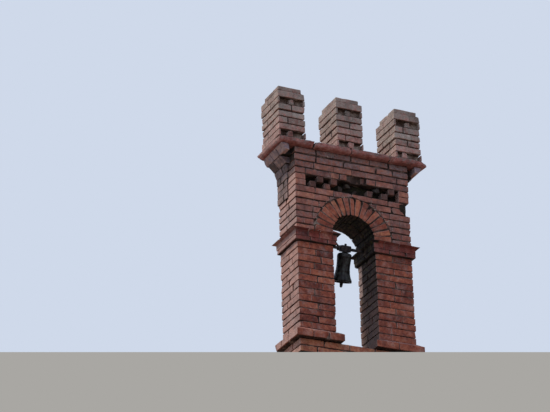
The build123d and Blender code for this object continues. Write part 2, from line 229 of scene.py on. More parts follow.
def lay_cut(pile, block, low, high, shade=None, moss=0.0, soot=0.0, side_moss=0.0, **how):
    """Wears a block that was already cut to shape, and lays it."""
    wear(block, low, high, **how)
    own_shade = any_shade(0.5, 0.14, 0.1, 0.9)
    lay(pile, block, own_shade if shade is None else shade, moss, soot, side_moss=side_moss)


def brick(pile, low, high, shade=None, moss=0.0, soot=0.0, setback=SETBACK, depths=None, shut=OPEN, **how):
    """A hand-made brick somewhere inside low to high: no two sit at quite the same depth."""
    low, high = Vector(low), Vector(high)
    front, rear = depths or (dice.uniform(0, setback), dice.uniform(0, setback))
    inner_low = low + Vector((0 if shut[0] else dice.uniform(0, setback), front, 0))
    inner_high = high - Vector((0 if shut[1] else dice.uniform(0, setback), rear, 0))
    block = box_block(inner_low, inner_high)
    tilt = Matrix.Rotation(math.radians(dice.gauss(0, TILT)), 3, "Y")
    bmesh.ops.rotate(block, cent=(low + high) / 2, matrix=tilt, verts=block.verts)
    how.setdefault("chips", dice.choice((0, 1, 1, 2)))
    how.setdefault("spalls", dice.choice((0, 1, 2, 3)))
    lay_cut(pile, block, low, high, shade, moss, soot, shut=shut, **how)


def with_widths(joints):
    """Joints as pairs of place and width. One that is given by its place alone has the common width."""
    return [joint if isinstance(joint, tuple) else (joint, HEAD_JOINT) for joint in joints]


def row_of_bricks(pile, low, high, joints, **how):
    """Bricks in a line along X between low and high, parted at the joints."""
    edges = [(low.x, HEAD_JOINT), *with_widths(joints), (high.x, HEAD_JOINT)]
    setback = how.get("setback", SETBACK)
    depths = None
    for (left, left_gap), (right, right_gap) in zip(edges, edges[1:]):
        shut = (left_gap <= TIGHT_JOINT, right_gap <= TIGHT_JOINT)
        if not shut[0]:
            depths = (dice.uniform(0, setback), dice.uniform(0, setback))
        start = left if left == low.x else left + left_gap / 2
        end = right if right == high.x else right - right_gap / 2
        brick(pile, (start, low.y, low.z), (end, high.y, high.z), depths=depths, shut=shut, **how)


def course_of_bricks(pile, low, high, front, rear, split, split_gap=HEAD_JOINT, bed=(0.4, 0.85), **how):
    """One course of a wall two bricks thick: the front row and the rear row."""
    low, high = Vector(low), Vector(high)
    bottom = low.z + BED_JOINT * dice.uniform(*bed)
    top = high.z - BED_JOINT * dice.uniform(*bed)
    rows = ((low.y, split - split_gap / 2, front), (split + split_gap / 2, high.y, rear))
    for near, far, joints in rows:
        row_of_bricks(pile, Vector((low.x, near, bottom)), Vector((high.x, far, top)), joints, **how)


def frame_solid(node):
    """A copy of a frame node's mesh, with its loose triangles joined up."""
    solid = bmesh.new()
    solid.from_mesh(frame["nodes"][node].data)
    bmesh.ops.remove_doubles(solid, verts=solid.verts, dist=1e-5)
    for layer in list(solid.loops.layers.uv.values()):
        solid.loops.layers.uv.remove(layer)
    return solid


def mortar_block(pile, low, high, moss=0.0, soot=0.0, shade=0.0, hollows=()):
    """Washed-out mortar: an uneven surface, pushed back where the bricks in front of it are gone."""
    low, high = Vector(low), Vector(high)
    core = box_block(low, high)
    for axis in range(3):
        cuts = int((high[axis] - low[axis]) / MORTAR_SPACING)
        score(core, axis, evenly(low[axis], high[axis], cuts))
    seed = elsewhere()
    middle = (low + high) / 2
    for vert in core.verts:
        place = vert.co.copy()
        drift = noise.noise_vector(place * MORTAR_WAVES + seed) * WASHOUT
        inwards = [math.copysign(drift[k], place[k] - middle[k]) for k in range(2)]
        vert.co -= Vector((*inwards, 0))
        for hollow_low, hollow_high, shift in hollows:
            if all(hollow_low[k] <= place[k] <= hollow_high[k] for k in range(3)):
                vert.co += Vector(shift)
    lay(pile, core, shade, moss, soot, finish=1)


def mortar_core(pile, node, moss=0.0, soot=0.0, shade=0.0, hollows=()):
    """The mortar behind the bricks of a plain wall, set back from its faces."""
    low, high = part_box(node)
    inset = Vector((JOINT_DEPTH, JOINT_DEPTH, 0))
    mortar_block(pile, low + inset, high - inset - Vector((0, 0, 0.004)), moss, soot, shade, hollows)


def crumb(pile, place, size, shade=0.8, moss=0.0):
    """A lump of mortar or lichen crust that clings to the wall."""
    lump = bmesh.new()
    bmesh.ops.create_icosphere(lump, subdivisions=1, radius=1)
    seed = elsewhere()
    for vert in lump.verts:
        vert.co *= 0.75 + 0.5 * noise.noise(vert.co * 1.3 + seed)
    flattened = Vector((size, size * 0.45, size * dice.uniform(0.5, 0.9)))
    bmesh.ops.scale(lump, vec=flattened, verts=lump.verts)
    bmesh.ops.translate(lump, vec=Vector(place), verts=lump.verts)
    lay(pile, lump, shade, moss, 0.0, finish=1)


def set_piece(name, pile, finishes, body, slot, *nodes):
    mesh = bpy.data.meshes.new(name)
    pile.to_mesh(mesh)
    pile.free()
    for finish in finishes:
        mesh.materials.append(finish)
    piece = bpy.data.objects.new(name, mesh)
    bpy.context.scene.collection.objects.link(piece)
    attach(piece, body)
    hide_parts(*nodes)
    return piece


# Material helpers

def linear(shown):
    """An sRGB hex colour as linear light."""
    values = [int(shown[k:k + 2], 16) / 255 for k in (1, 3, 5)]
    return tuple(v / 12.92 if v <= 0.04045 else ((v + 0.055) / 1.055) ** 2.4 for v in values) + (1.0,)


def add_node(tree, kind, settings=None, links=None):
    """Adds a node. Settings go to its properties or, by name or number, its sockets, and so do links.

    A link from a node, and not from one of its sockets, takes the node's first output in use.
    """
    node = tree.nodes.new("ShaderNode" + kind)
    for key, value in (settings or {}).items():
        if isinstance(key, str) and hasattr(node, key):
            setattr(node, key, value)
        else:
            node.inputs[key].default_value = value
    for key, source in (links or {}).items():
        if isinstance(source, bpy.types.Node):
            source = next(socket for socket in source.outputs if socket.enabled)
        tree.links.new(source, node.inputs[key])
    return node


def per_metre(millimetres):
    """The scale of a pattern whose marks are that far apart."""
    return 1000 / millimetres


def marks(millimetres, detail, roughness=0.5):
    """The settings of a cloudy pattern whose marks are that far apart."""
    return {"Scale": per_metre(millimetres), "Detail": detail, "Roughness": roughness}


def from_to(start, end, low=0.0, high=1.0):
    """The settings that turn what runs from start to end into what runs from low to high."""
    return {"From Min": start, "From Max": end, "To Min": low, "To Max": high}


def ramp_stops(node, stops):
    band = node.color_ramp
    while len(band.elements) < len(stops):
        band.elements.new(0.5)
    for element, (place, shown) in zip(band.elements, stops):
        element.position = place
        element.color = linear(shown)


def empty_tree(owner):
    owner.use_nodes = True
    owner.node_tree.nodes.clear()
    return owner.node_tree


def start_material(name):
    """An empty material, its tree, and the place on the gable that its patterns are drawn from."""
    material = bpy.data.materials.new(name)
    tree = empty_tree(material)
    return material, tree, add_node(tree, "TexCoord").outputs["Object"]


def finish_material(tree, settings, links, relief, strength, depth):
    """The surface that all of it ends in, with the relief standing up in the light."""
    bump = add_node(tree, "Bump", {"Strength": strength, "Distance": depth}, {"Height": relief})
    shader = add_node(tree, "BsdfPrincipled", settings, {**links, "Normal": bump})
    add_node(tree, "OutputMaterial", links={"Surface": shader})


# What the place does to brick and joint alike, with painted shade and painted sunlight in the opening

# The heights between which the arch's shelter and its painted shade set in, and those over which its grime
# and painted shade thicken
SHELTERED_AND_SHADED = (1.04, 1.14)
GRIME_AND_SHADE_RISE = (0.1, 1.2)

# How far from the wall's middle the opening's sides are grimy and painted dark as shade, and where the rear
# face begins
GRIME_AND_SHADE_DEPTH = (0.175, 0.155)
REAR_FACE = (0.12, 0.18)

# The stretch of the right pier's jamb where a patch of sunlight is painted on
SUNLIT_STRIP_BEHIND = (0.128, 0.14)
SUNLIT_STRIP_FOOT = (0.79, 0.815)
SUNLIT_STRIP_HEAD = (1.135, 1.12)
SUNLIT_STRIP_RIGHT = (0.15, 0.18)
PAINTED_SUNLIGHT_TONE = "#9a857b"


def grime_and_painted_shade_under_the_arch(tree, where, place, facing):
    """How black the opening's inside is: damp and soot where no rain washes, and painted shade on the soffit
    and jambs, darkest under the crown.
    """
    across = add_node(tree, "Math", {"operation": "SUBTRACT", 1: ARCH_X}, {0: place["X"]})
    above = add_node(tree, "Math", {"operation": "SUBTRACT", 1: SPRING}, {0: place["Z"]})
    risen = add_node(tree, "Math", {"operation": "MAXIMUM", 1: 0.0}, {0: above})
    arm = add_node(tree, "CombineXYZ", links={"X": across, "Z": risen})
    radius = add_node(tree, "VectorMath", {"operation": "LENGTH"}, {0: arm})
    amount = add_node(tree, "MapRange", from_to(INTRADOS + 0.03, INTRADOS + 0.01), {0: radius})
    flat = add_node(tree, "Math", {"operation": "ABSOLUTE"}, {0: facing["Y"]})
    turned = add_node(tree, "MapRange", from_to(0.8, 0.4), {0: flat})
    off_middle = add_node(tree, "Math", {"operation": "ABSOLUTE"}, {0: place["Y"]})
    within = add_node(tree, "MapRange", from_to(*GRIME_AND_SHADE_DEPTH), {0: off_middle})
    sideways = add_node(tree, "Math", {"operation": "MAXIMUM"}, {0: turned, 1: within})
    rear_face = add_node(tree, "MapRange", from_to(*REAR_FACE, 1.0, 0.6), {0: place["Y"]})
    sheltered_and_shaded = add_node(tree, "MapRange", from_to(*SHELTERED_AND_SHADED), {0: place["Z"]})
    back = add_node(tree, "Math", {"operation": "MAXIMUM"}, {0: rear_face, 1: sheltered_and_shaded})
    level = add_node(tree, "MapRange", from_to(*GRIME_AND_SHADE_RISE, 0.58, 1.0), {0: place["Z"]})
    blotch = add_node(tree, "TexNoise", marks(90, 6.0, 0.65), {"Vector": where})
    patchy = add_node(tree, "MapRange", from_to(0.3, 0.55, 0.84, 1.0), {0: blotch})
    for share in (sideways, back, level, patchy):
        amount = add_node(tree, "Math", {"operation": "MULTIPLY"}, {0: amount, 1: share})
    return amount


def painted_sunlight_on_the_jamb(tree, where, place, facing):
    """How much painted sunlight lies on the rear edge of the right pier's inner face, under the impost."""
    torn = add_node(tree, "TexNoise", marks(55, 6.0, 0.7), {"Vector": where})
    edge = add_node(tree, "Math", {"operation": "MULTIPLY_ADD", 1: 0.05}, {0: torn, 2: place["Y"]})
    amount = add_node(tree, "MapRange", from_to(*SUNLIT_STRIP_BEHIND), {0: edge})
    for source, span in (
        (place["Z"], SUNLIT_STRIP_FOOT),
        (place["Z"], SUNLIT_STRIP_HEAD),
        (place["X"], SUNLIT_STRIP_RIGHT),
        (facing["X"], (-0.3, -0.7)),
    ):
        share = add_node(tree, "MapRange", from_to(*span), {0: source})
        amount = add_node(tree, "Math", {"operation": "MULTIPLY"}, {0: amount, 1: share})
    return amount


# Materials

def fired_clay(name, shades, painted_sun_paleness, lichen_from, lime, crust_shades=("#54504a", "#817d74"), high_film=0.0):
    """Hand-made fired clay, long out in the weather. It greys with height, where the wind keeps it dry."""
    material, tree, where = start_material(name)
    laying = add_node(tree, "Attribute", {"attribute_name": LAYING})
    shade, moss, soot = add_node(tree, "SeparateColor", links={0: laying.outputs["Color"]}).outputs
    normal = add_node(tree, "NewGeometry").outputs["Normal"]
    facing = add_node(tree, "SeparateXYZ", links={0: normal}).outputs
    place = add_node(tree, "SeparateXYZ", links={0: where}).outputs
    height = place["Z"]

    # The kiln's uneven heat: cloudy patches the size of a thumb over each brick's own shade
    clouds = add_node(tree, "TexNoise", marks(46, 6.0, 0.66), {"Vector": where})
    uneven = add_node(tree, "Math", {"operation": "MULTIPLY_ADD", 1: 1.5, 2: -0.75}, {0: clouds})
    mixed = add_node(tree, "Math", {"operation": "ADD", "use_clamp": True}, {0: shade, 1: uneven})
    body = add_node(tree, "ValToRGB", links={0: mixed})
    ramp_stops(body, shades)

    # Sand grains and small burnt specks, drawn as coarse as the picture can show
    grit = add_node(tree, "TexNoise", marks(6, 4.0, 0.7), {"Vector": where})
    grain = add_node(tree, "MapRange", from_to(0.3, 0.7, 0.66, 1.28), {0: grit})
    multiply = {"data_type": "RGBA", "blend_type": "MULTIPLY", 0: 1.0}
    grained = add_node(tree, "Mix", multiply, {6: body, 7: grain})

    # Worn arrises are paler, and faces turned towards the sun on the left are painted paler as painted
    # sunlight
    painted_sunlit_side = add_node(tree, "Math", {"operation": "MULTIPLY", 1: -painted_sun_paleness, "use_clamp": True}, {0: facing["X"]})
    worn = laying.outputs["Alpha"]
    edge = add_node(tree, "Math", {"operation": "MULTIPLY_ADD", 1: 0.16}, {0: worn, 2: painted_sunlit_side})
    worn_and_sun_paled = add_node(tree, "Mix", {"data_type": "RGBA", 7: linear("#ae9b90")}, {0: edge, 6: grained})

    # Lime washed out of the joints, in thin uneven films
    film = add_node(tree, "TexNoise", marks(95, 7.0, 0.68), {"Vector": where})
    film_amount = add_node(tree, "MapRange", from_to(0.5, 0.72, 0.0, lime), {0: film})
    worn_high = add_node(tree, "MapRange", from_to(1.15, 1.42, 0.0, high_film), {0: height})
    greyed = add_node(tree, "Math", {"operation": "ADD"}, {0: film_amount, 1: worn_high})
    limed = add_node(tree, "Mix", {"data_type": "RGBA", 7: linear("#a0928a")}, {0: greyed, 6: worn_and_sun_paled})

    # Grey lichen crust, thick at the top of the gable and on faces that look up
    crust = add_node(tree, "TexNoise", marks(38, 8.0, 0.74), {"Vector": where})
    high_up = add_node(tree, "MapRange", from_to(lichen_from, lichen_from + 0.35, -0.1, 0.12), {0: height})
    skyward = add_node(tree, "Math", {"operation": "MULTIPLY_ADD", 1: 0.14}, {0: facing["Z"], 2: high_up})
    crusted = add_node(tree, "Math", {"operation": "ADD"}, {0: crust, 1: skyward})
    crust_amount = add_node(tree, "MapRange", from_to(0.46, 0.64, 0.0, 0.75), {0: crusted})
    crust_tone = add_node(tree, "ValToRGB", links={0: grit})
    ramp_stops(crust_tone, [(0.35, crust_shades[0]), (0.6, crust_shades[1])])
    lichened = add_node(tree, "Mix", {"data_type": "RGBA"}, {0: crust_amount, 6: limed, 7: crust_tone})

    # Moss and black slime in the damp recesses, then soot; on the upper wall's ends the moss also stands for
    # painted shade
    damp = add_node(tree, "TexNoise", marks(30, 6.0, 0.7), {"Vector": where})
    damp_shift = add_node(tree, "Math", {"operation": "MULTIPLY_ADD", 1: 1.1, 2: -0.55}, {0: damp})
    mossy = add_node(tree, "Math", {"operation": "MULTIPLY_ADD", 1: 1.3}, {0: moss, 2: damp_shift})
    moss_amount = add_node(tree, "MapRange", from_to(0.12, 0.75, 0.0, 0.93), {0: mossy})
    moss_tone = add_node(tree, "ValToRGB", links={0: damp})
    ramp_stops(moss_tone, [(0.42, "#171512"), (0.56, "#2b2a20"), (0.72, "#46452f")])
    mossed = add_node(tree, "Mix", {"data_type": "RGBA"}, {0: moss_amount, 6: lichened, 7: moss_tone})
    stain = add_node(tree, "TexNoise", marks(140, 6.0, 0.66), {"Vector": where})
    stain_amount = add_node(tree, "MapRange", from_to(0.48, 0.72, 0.0, 0.5), {0: stain})
    dirt = add_node(tree, "Math", {"operation": "ADD", "use_clamp": True}, {0: stain_amount, 1: soot})
    sooted = add_node(tree, "Mix", {"data_type": "RGBA", 7: linear("#271d1a")}, {0: dirt, 6: mossed})

    # The opening's grime with painted shade on its soffit and jambs, and painted sunlight on the right jamb's
    # rear edge
    grime_and_painted_shade = grime_and_painted_shade_under_the_arch(tree, where, place, facing)
    grime_and_shade_tone = add_node(tree, "ValToRGB", links={0: damp})
    ramp_stops(grime_and_shade_tone, [(0.43, "#151413"), (0.52, "#1f1c19"), (0.61, "#3c3b24")])
    grimed_and_shaded = add_node(tree, "Mix", {"data_type": "RGBA"}, {0: grime_and_painted_shade, 6: sooted, 7: grime_and_shade_tone})
    painted_sunlight = painted_sunlight_on_the_jamb(tree, where, place, facing)
    washed = add_node(tree, "Mix", {"data_type": "RGBA", 7: linear(PAINTED_SUNLIGHT_TONE)}, {0: painted_sunlight, 6: grimed_and_shaded})

    # Pits, drag marks and grit stand up in the light
    pits = add_node(tree, "TexVoronoi", {"Scale": per_metre(18), "feature": "SMOOTH_F1"}, {"Vector": where})
    pit_depth = add_node(tree, "MapRange", from_to(0.1, 0.45), {0: pits})
    pitted = add_node(tree, "Math", {"operation": "MULTIPLY_ADD", 1: 0.5}, {0: pit_depth, 2: grit})
    relief = add_node(tree, "Math", {"operation": "MULTIPLY_ADD", 1: 1.8}, {0: clouds, 2: pitted})
    matt = {"Roughness": 0.92, "Specular IOR Level": 0.25}
    finish_material(tree, matt, {"Base Color": washed}, relief, 0.8, 0.003)
    return material


def crumbling_lime_mortar():
    """Lime and river sand, struck long ago and washed out: dull, dark in the joints, pale on the crumbs."""
    material, tree, where = start_material("crumbling_lime_mortar")
    laying = add_node(tree, "Attribute", {"attribute_name": LAYING})
    shade, moss, soot = add_node(tree, "SeparateColor", links={0: laying.outputs["Color"]}).outputs
    normal = add_node(tree, "NewGeometry").outputs["Normal"]
    facing = add_node(tree, "SeparateXYZ", links={0: normal}).outputs
    place = add_node(tree, "SeparateXYZ", links={0: where}).outputs

    # Paler and darker lime, with grains of sand
    sand = add_node(tree, "TexNoise", marks(7, 5.0, 0.75), {"Vector": where})
    patches = add_node(tree, "TexNoise", marks(110, 6.0, 0.66), {"Vector": where})
    paleness = add_node(tree, "Math", {"operation": "MULTIPLY_ADD", 1: 0.3}, {0: shade, 2: patches})
    body = add_node(tree, "ValToRGB", links={0: paleness})
    ramp_stops(body, [(0.4, "#2b211c"), (0.54, "#47372f"), (0.64, "#705d52"), (0.76, "#9c8e80")])
    grain = add_node(tree, "MapRange", from_to(0.3, 0.7, 0.62, 1.25), {0: sand})
    multiply = {"data_type": "RGBA", "blend_type": "MULTIPLY", 0: 1.0}
    grained = add_node(tree, "Mix", multiply, {6: body, 7: grain})

    # Moss and soot, then the opening's grime with painted shade on its soffit and jambs, and painted sunlight
    # on the right jamb's rear edge
    damp = add_node(tree, "TexNoise", marks(34, 6.0, 0.7), {"Vector": where})
    damp_shift = add_node(tree, "Math", {"operation": "MULTIPLY_ADD", 1: 0.9, 2: -0.45}, {0: damp})
    mossy = add_node(tree, "Math", {"operation": "MULTIPLY_ADD", 1: 1.3}, {0: moss, 2: damp_shift})
    moss_amount = add_node(tree, "MapRange", from_to(0.1, 0.7, 0.0, 0.95), {0: mossy})
    moss_tone = add_node(tree, "ValToRGB", links={0: damp})
    ramp_stops(moss_tone, [(0.42, "#11100d"), (0.56, "#242414"), (0.72, "#444628")])
    mossed = add_node(tree, "Mix", {"data_type": "RGBA"}, {0: moss_amount, 6: grained, 7: moss_tone})
    sooted = add_node(tree, "Mix", {"data_type": "RGBA", 7: linear("#1c1613")}, {0: soot, 6: mossed})
    grime_and_painted_shade = grime_and_painted_shade_under_the_arch(tree, where, place, facing)
    grimed_and_shaded = add_node(tree, "Mix", {"data_type": "RGBA", 7: linear("#1a1915")}, {0: grime_and_painted_shade, 6: sooted})
    painted_sunlight = painted_sunlight_on_the_jamb(tree, where, place, facing)
    washed = add_node(tree, "Mix", {"data_type": "RGBA", 7: linear(PAINTED_SUNLIGHT_TONE)}, {0: painted_sunlight, 6: grimed_and_shaded})

    relief = add_node(tree, "Math", {"operation": "MULTIPLY_ADD", 1: 2.0}, {0: patches, 2: sand})
    matt = {"Roughness": 0.97, "Specular IOR Level": 0.15}
    finish_material(tree, matt, {"Base Color": washed}, relief, 0.9, 0.004)
    return material


def forged_iron():
    """Wrought iron from the forge, left bare: nearly black, with brown rust in soft blooms."""
    material, tree, where = start_material("forged_iron")
    bloom = add_node(tree, "TexNoise", marks(28, 7.0, 0.68), {"Vector": where})
    body = add_node(tree, "ValToRGB", links={0: bloom})
    ramp_stops(body, [(0.4, "#1a1a1b"), (0.55, "#29221f"), (0.68, "#45291d"), (0.8, "#623c27")])
    rough = add_node(tree, "MapRange", from_to(0.4, 0.7, 0.55, 0.9), {0: bloom})
    bare = add_node(tree, "MapRange", from_to(0.42, 0.6, 0.7, 0.0), {0: bloom})
    blows = add_node(tree, "TexVoronoi", {"Scale": per_metre(18), "feature": "SMOOTH_F1"}, {"Vector": where})
    scale = add_node(tree, "TexNoise", marks(4, 4.0), {"Vector": where})
    relief = add_node(tree, "Math", {"operation": "MULTIPLY_ADD", 1: 1.5}, {0: blows, 2: scale})
    surface = {"Base Color": body, "Roughness": rough, "Metallic": bare}
    finish_material(tree, {}, surface, relief, 0.5, 0.0012)
    return material


def weathered_bell_bronze():
    """Cast bell bronze with a near-black skin: a little green in the hollows, a sheen where rain has run."""
    material, tree, where = start_material("weathered_bell_bronze")
    skin = add_node(tree, "TexNoise", marks(45, 6.0, 0.65), {"Vector": where})
    down = add_node(tree, "Mapping", {"Scale": (1.0, 1.0, 0.12)}, {"Vector": where})
    runs = add_node(tree, "TexNoise", marks(14, 4.0), {"Vector": down})
    both = add_node(tree, "Mix", {0: 0.4}, {2: skin, 3: runs})
    body = add_node(tree, "ValToRGB", links={0: both})
    ramp_stops(body, [(0.38, "#1b1b1c"), (0.5, "#2a2724"), (0.6, "#313530"), (0.7, "#4a5850")])
    rough = add_node(tree, "MapRange", from_to(0.4, 0.65, 0.42, 0.8), {0: both})
    bare = add_node(tree, "MapRange", from_to(0.42, 0.6, 0.85, 0.1), {0: both})
    casting = add_node(tree, "TexNoise", marks(3, 3.0), {"Vector": where})
    surface = {"Base Color": body, "Roughness": rough, "Metallic": bare}
    finish_material(tree, {}, surface, casting, 0.35, 0.0008)
    return material


BRICK_SHADES = [(0.0, "#42221b"), (0.25, "#653226"), (0.5, "#854733"), (0.75, "#9c5b42"), (1.0, "#b27653")]
RED_SHADES = [(0.0, "#45201c"), (0.3, "#682f28"), (0.6, "#7f3f34"), (0.85, "#8f5444"), (1.0, "#9b6b58")]
CORNICE_SHADES = [(0.0, "#4a2a28"), (0.3, "#734239"), (0.6, "#93594f"), (0.85, "#a8776b"), (1.0, "#b29084")]
CONSOLE_SHADES = [(0.0, "#573c36"), (0.3, "#80594e"), (0.6, "#a0766a"), (0.85, "#b08f80"), (1.0, "#b8a294")]
MERLON_SHADES = [(0.0, "#55342d"), (0.3, "#84564a"), (0.6, "#a4766a"), (0.85, "#b29082"), (1.0, "#b8a294")]
old_brick = fired_clay(
    "hand_made_brick",
    BRICK_SHADES,
    painted_sun_paleness=0.5,
    lichen_from=1.86,
    lime=0.42,
    crust_shades=("#545150", "#817d7c"),
    high_film=0.14,
)
console_brick = fired_clay(
    "console_brick",
    CONSOLE_SHADES,
    painted_sun_paleness=0.6,
    lichen_from=1.6,
    lime=0.5,
    crust_shades=("#504d54", "#7e7a83"),
)
ring_brick = fired_clay("arch_ring_brick", BRICK_SHADES, painted_sun_paleness=0.4, lichen_from=2.4, lime=0.3)
moulded_clay = fired_clay("moulded_terracotta", RED_SHADES, painted_sun_paleness=0.5, lichen_from=2.3, lime=0.25)
cornice_clay = fired_clay("rolled_terracotta", CORNICE_SHADES, painted_sun_paleness=0.35, lichen_from=2.0, lime=0.45)
merlon_brick = fired_clay(
    "merlon_brick",
    MERLON_SHADES,
    painted_sun_paleness=0.4,
    lichen_from=2.11,
    lime=0.42,
    crust_shades=("#646055", "#969185"),
)
mortar = crumbling_lime_mortar()
iron = forged_iron()
bronze = weathered_bell_bronze()


# Base and plinths

BASE_COURSES = 2
BASE_BRICK = 0.27
BASE_START = 0.09
BASE_SHIFT = 0.07
PLINTH_JOINTS = {"left": (-0.075, 0.09), "right": (-0.02,)}
PLINTH_SPLITS = (-0.05, 0.11)

pile = new_pile()
low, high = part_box("base_wall")
mortar_core(pile, "base_wall")
for row in range(BASE_COURSES):
    bottom, top = low.z + row * COURSE, low.z + (row + 1) * COURSE
    shift = BASE_SHIFT * row
    joints = [low.x + shift + BASE_BRICK * (k + 1) - BASE_START for k in range(5)]
    joints = [joint for joint in joints if joint < high.x - 0.06]
    rear = [joint + 0.03 for joint in joints]
    split = 0.01 - 0.03 * row
    course_of_bricks(pile, (low.x, low.y, bottom), (high.x, high.y, top), joints, rear, split, shade=0.85)
set_piece("base_wall_bricks", pile, [old_brick, mortar], "masonry", "old_brick", "base_wall")


def unit_row(pile, make_block, x_stops, y_stops, gap, low_z, high_z, **how):
    """Cuts a moulded course into its units, each worn by itself."""
    for left, right in zip(x_stops, x_stops[1:]):
        for near, far in zip(y_stops, y_stops[1:]):
            low = Vector((left + gap / 2, near + gap / 2, low_z))
            high = Vector((right - gap / 2, far - gap / 2, high_z))
            for axis, stops in ((0, x_stops), (1, y_stops)):
                if (left, near)[axis] == stops[0]:
                    low[axis] = stops[0]
                if (right, far)[axis] == stops[-1]:
                    high[axis] = stops[-1]
            block = make_block()
            cut_to(block, low, high)
            lay_cut(pile, block, low, high, **how)


def sloped_unit(low, high, foot, edge):
    """A box whose sides above or below the edge slope in to the foot of the piece next to it."""
    block = box_block(low, high)
    score(block, 2, [edge])
    for vert in block.verts:
        if (vert.co.z - edge) * (foot[0].z - edge) > 1e-9:
            vert.co.x = foot[0].x if vert.co.x < (low.x + high.x) / 2 else foot[1].x
            vert.co.y = foot[0].y if vert.co.y < 0 else foot[1].y
    return block


def mortar_within(pile, box, inset, rise, top):
    """Mortar inside a piece's outline, from a rise over that piece's foot up to a height."""
    low, high = box
    high = Vector((high.x - inset, high.y - inset, top))
    mortar_block(pile, low + Vector((inset, inset, rise)), high)


for side in ("left", "right"):
    node = side + "_plinth"
    low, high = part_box(node)
    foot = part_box(side + "_pier")
    edge = low.z + COURSE
    pile = new_pile()
    middle = (low.x + high.x) / 2
    unit_row(
        pile,
        lambda: sloped_unit(low + Vector((0, 0, 0.004)), high, foot, edge),
        [low.x, *(middle + shift for shift in PLINTH_JOINTS[side]), high.x],
        [low.y, *PLINTH_SPLITS, high.y],
        0.007,
        low.z,
        high.z,
        shade=0.58,
        chips=3,
        chip_size=0.03,
        wobble=0.003,
    )
    mortar_within(pile, (low, high), 0.012, 0, edge - 0.004)
    mortar_within(pile, foot, 0.009, -0.03, high.z)
    set_piece(side + "_plinth_bricks", pile, [old_brick, mortar], "masonry", "old_brick", node)


# Piers

# The courses whose front shows one joint near its middle, and where
MIDDLE_JOINTS = {
    "left": {1: -0.416, 3: -0.416, 5: -0.449, 7: -0.417, 9: -0.444, 11: -0.422},
    "right": {2: 0.414, 4: 0.410, 6: 0.406, 8: 0.423, 10: 0.409, 12: 0.406},
}
for side in ("left", "right"):
    node = side + "_pier"
    low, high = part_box(node)
    pile = new_pile()
    mortar_core(pile, node, shade=0.1)
    width = high.x - low.x
    for row in range(round((high.z - low.z) / COURSE)):
        bottom, top = low.z + row * COURSE, low.z + (row + 1) * COURSE
        if row in MIDDLE_JOINTS[side]:
            front = [MIDDLE_JOINTS[side][row]]
            rear = [low.x + width * dice.uniform(0.46, 0.54)]
            split, gap = dice.uniform(-0.005, 0.035), HEAD_JOINT
        else:
            share, split = (0.34, 0.062) if row % 4 in (0, 1) else (0.66, -0.06)
            gap = TIGHT_JOINT
            front = [(low.x + width * share, TIGHT_JOINT)]
            rear = [(low.x + width * (1 - share), TIGHT_JOINT)]
        corners = (low.x, low.y, bottom), (high.x, high.y, top)
        course_of_bricks(pile, *corners, front, rear, split, gap, bed=(0.15, 0.9), setback=0.006)
    set_piece(side + "_pier_bricks", pile, [old_brick, mortar], "masonry", "old_brick", node)


# Imposts

LIP = 0.016
CAP_JOINTS = {"left": (-0.51, -0.39, -0.25), "right": (0.3, 0.463)}
CAP_SPLITS = (-0.07, 0.09)
LOOSE_WEDGE = ((-0.262, -0.247), (-0.18, -0.196))
WEDGE_RISE = (-0.002, 0.021)
WEDGE_FALL = 0.017
CRUMBLED_EDGE = (-0.5, -0.41)

for side in ("left", "right"):
    node = side + "_impost_fillet"
    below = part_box(node)
    pile = new_pile()
    mortar_core(pile, node, soot=0.3)
    middle = (below[0].x + below[1].x) / 2
    for near, far, joints in (
        (below[0].y, 0.0, [middle - 0.06, middle + 0.12]),
        (0.0, below[1].y, [middle - 0.1, middle + 0.07]),
    ):
        row_low = Vector((below[0].x, near, below[0].z + 0.003))
        row_high = Vector((below[1].x, far - 0.004, below[1].z - 0.002))
        row_of_bricks(pile, row_low, row_high, joints, chips=2, soot=0.1)
    name = side + "_impost_fillet_bricks"
    set_piece(name, pile, [moulded_clay, mortar], "masonry", "moulded_terracotta", node)

    node = side + "_impost_cap"
    low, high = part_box(node)
    pile = new_pile()
    unit_row(
        pile,
        lambda: sloped_unit(low, high - Vector((0, 0, 0.001)), below, high.z - LIP),
        [low.x, *CAP_JOINTS[side], high.x],
        [low.y, *CAP_SPLITS, high.y],
        0.005,
        low.z,
        high.z,
        chips=1,
        chip_size=0.012,
        wobble=0.002,
        arris=0.0018,
        soot=0.08,
    )
    mortar_within(pile, below, 0.009, 0.03, high.z - 0.012)
    if side == "left":
        corners = [(*LOOSE_WEDGE[k], high.z + WEDGE_RISE[k]) for k in range(2)]
        wedge = box_block(*corners)
        for vert in wedge.verts:
            if vert.co.x > -0.2 and vert.co.z > high.z:
                vert.co.z -= WEDGE_FALL
        lay_cut(pile, wedge, *corners, chips=1, chip_size=0.008, wobble=0.0015)
        for step in range(16):
            along, out = dice.uniform(*CRUMBLED_EDGE), dice.uniform(0.005, 0.008)
            place = (along, low.y + out, high.z - dice.uniform(0.002, 0.016))
            crumb(pile, place, dice.uniform(0.003, 0.008), dice.uniform(0.2, 0.7), 0.1)
    name = side + "_impost_cap_units"
    set_piece(name, pile, [moulded_clay, mortar], "masonry", "moulded_terracotta", node)


# Arch ring

RING_MIDDLE = (INTRADOS + RING_OUTER) / 2
VOUSSOIRS = 17
WEDGE = math.pi / VOUSSOIRS
FRONT_GAPS = (0.004, 0.006, 0.008, 0.012)
REAR_GAP = 0.004
FRONT_WEAR = {"chips": 3, "chip_size": 0.022, "wobble": 0.0035, "arris": 0.0032}
REAR_WEAR = {"chips": 0, "wobble": 0.0015, "arris": 0.0032}
ARCH_CRUMBS = 240


def on_the_arch(reach, turn, y):
    """The place that far from the arch's middle, turned up from its right foot."""
    return Vector((ARCH_X + reach * math.cos(turn), y, SPRING + reach * math.sin(turn)))


def bend_into_ring(block, angle):
    for vert in block.verts:
        vert.co = on_the_arch(vert.co.z, angle - vert.co.x / RING_MIDDLE, vert.co.y)


